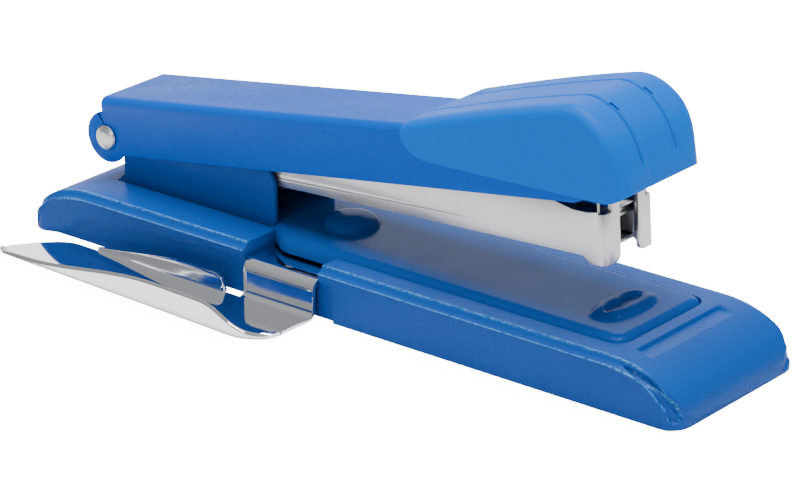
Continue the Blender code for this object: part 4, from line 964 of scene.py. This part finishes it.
def leaf_edges(x):
    """Inner and outer edge of the blade, as distances outside the base's side."""
    share = (x - LEAF_TIP) / (LEAF_FRONT - LEAF_TIP)
    outer = 14.2 + 3.0 * share
    middle = 14.2 - 2.5
    lead = min((x - LEAF_TIP) / 11.0, 1.0)
    inner = middle - (middle - 2.2) * math.sin(math.pi / 2 * lead)
    nib = min((x - LEAF_TIP) / 3.0, 1.0)
    outer = middle + 0.6 + (outer - middle - 0.6) * math.sqrt(nib * (2 - nib))
    tail = max((x - (LEAF_FRONT - 8)) / 8, 0.0)
    return inner, outer - 6.5 * (1 - math.sqrt(max(1 - tail * tail, 0.0)))


def clip_path():
    reach = WIDTH + 0.3 + SHEET / 2
    path = [(EAR_OUT + 1.2, 8.45)] + arc((reach - 2.2, 8.45 - 2.2), 2.2, 90, 0, 12)
    foot = 2.2 + WIDTH - reach
    return path + arc((reach + foot, LEAF_Z + foot), foot, 180, 255, 8)


def leaf_meshes():
    """Blade with its outer wall, the inner wall and the clip, as three skins that meet."""
    wall_end = LEAF_REAR_CLIP - 3.4
    wall_start = wall_end - 36
    xs = np.concatenate([LEAF_TIP + 11 * np.linspace(0.02, 1, 24, endpoint=False) ** 1.4,
                         np.linspace(LEAF_TIP + 11, wall_end, 44, endpoint=False),
                         np.linspace(wall_end, LEAF_FRONT - 8, 14, endpoint=False),
                         LEAF_FRONT - 8 + 8 * np.sin(np.linspace(0, math.pi / 2, 14))])
    blade, wall, clip = [], [], []
    for x in xs:
        inner, outer = leaf_edges(x)
        fading = 1 - smooth(x, LEAF_REAR_CLIP + 4, LEAF_FRONT)
        rise = WALL_RISE * float(smooth(x, LEAF_TIP + 6, LEAF_REAR_CLIP - 8) * fading)
        across = [(inner + (outer - inner) * s, LEAF_Z) for s in np.linspace(0, 0.9, 12)]
        wall_top = (outer + 0.9, LEAF_Z + 1.6 + rise)
        bend = fillet((outer - 1.2, LEAF_Z), (outer + 0.25, LEAF_Z), wall_top, 0.9, 6)
        full = float(smooth(x, LEAF_TIP, LEAF_TIP + 8))
        lip = fillet(bend[-1], (outer + 0.75, LEAF_Z + 0.3 + 0.5 * full + rise),
                     (outer + 0.9 + 0.4 * full, LEAF_Z + 0.4 + 0.7 * full + rise), 0.5, 4)
        upper = [tuple(bend[-1] + (lip[0] - bend[-1]) * share) for share in (0.25, 0.5, 0.75)]
        run = [tuple(point) for point in bend] + upper
        points = across + run + [tuple(p) for p in lip]
        blade.append([(x, -WIDTH - y, z) for y, z in points])
        if wall_start <= x <= wall_end:
            end = max((x - (wall_end - 3)) / 3, 0.0)
            rounded_end = math.sqrt(max(1 - end * end, 0.0))
            high = 0.6 + 3.4 * float(smooth(x, wall_start - 6, wall_end - 8)) * rounded_end
            curl = [(inner - 0.45, LEAF_Z + high), (inner - 0.42, LEAF_Z + 0.75 * high),
                    (inner - 0.38, LEAF_Z + 0.5 * high), (inner - 0.2, LEAF_Z + 0.2 * high), (inner, LEAF_Z)]
            wall.append([(x, -WIDTH - y, z) for y, z in curl])
        if x >= LEAF_REAR_CLIP:
            clip.append([(x, -y, z) for y, z in clip_path()] + [(x, -WIDTH - inner, LEAF_Z)])
    return [skin(np.array(part)) for part in (blade, wall, clip)]


leaf_mesh = outward(join(*leaf_meshes()))
show("remover_leaf", leaf_mesh, "chrome", ["staple_remover"], "base", thick=SHEET, bevel=0.12, angle=55)

# %% [markdown]
# ## Sharp pressed steel, kept crisp
#
# The magazine and the follower are already the right shape. What they lack is the tiny
# radius that every sheared or moulded edge has, which is what catches the light. A copy
# is cleaned back to flat faces and given that radius.

# %% Bevelled copies
def rounded_copy(node, name, body, width, angle=35):
    """A copy of a CAD node with softened edges, which stands for it."""
    mesh = frame["nodes"][node].data.copy()
    work = bmesh.new()
    work.from_mesh(mesh)
    bmesh.ops.remove_doubles(work, verts=work.verts, dist=1e-6)
    bmesh.ops.dissolve_limit(work, angle_limit=math.radians(0.6), verts=work.verts, edges=work.edges)
    work.to_mesh(mesh)
    work.free()
    return show(name, mesh, slots[node], [node], body, bevel=width, angle=angle)


rounded_copy("magazine_channel", "magazine_shell", "magazine", 0.12)
rounded_copy("staple_rail", "inner_rail", "magazine", 0.10)
rounded_copy("follower", "staple_follower", "follower", 0.30)
rounded_copy("driver_blade", "driver", "arm", 0.06)
rounded_copy("foot_pad", "rubber_foot", "base", 0.10)

# %% [markdown]
# ## Wire coil and staples
#
# The follower's spring is a real coil of round wire. The strip of staples is one glued
# block, as it is sold.

# %% Coil and staples
spring_low, spring_high = (Vector(corner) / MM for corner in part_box("follower_spring"))
to_magazine = tilted(MAGAZINE_TILT).inverted()
ends = [to_magazine @ (Vector((x, 0, 0)) * MM) for x in (spring_low.x, spring_high.x)]
coil_start, coil_end = sorted(end.x / MM for end in ends)
ROD_Z, COIL_R, WIRE_R, TURNS = 5.3, 1.3, 0.22, 26
coil_rows = []
for turn_angle in np.linspace(0, 2 * math.pi * TURNS, TURNS * 16 + 1):
    share = turn_angle / (2 * math.pi * TURNS)
    x = coil_start + WIRE_R + (coil_end - coil_start - 2 * WIRE_R) * share
    radial = np.array([0, math.cos(turn_angle), math.sin(turn_angle)])
    centre = np.array([x, 0, ROD_Z]) + COIL_R * radial
    ring = [centre + WIRE_R * (math.cos(a) * radial + math.sin(a) * np.array([1, 0, 0]))
            for a in np.linspace(0, 2 * math.pi, 6, endpoint=False)]
    coil_rows.append(ring)
coil = show("follower_coil", skin(np.array(coil_rows), ring=True, caps=True), "spring_steel",
            ["follower_spring"], "magazine", tilt=MAGAZINE_TILT, angle=70)
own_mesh(coil)
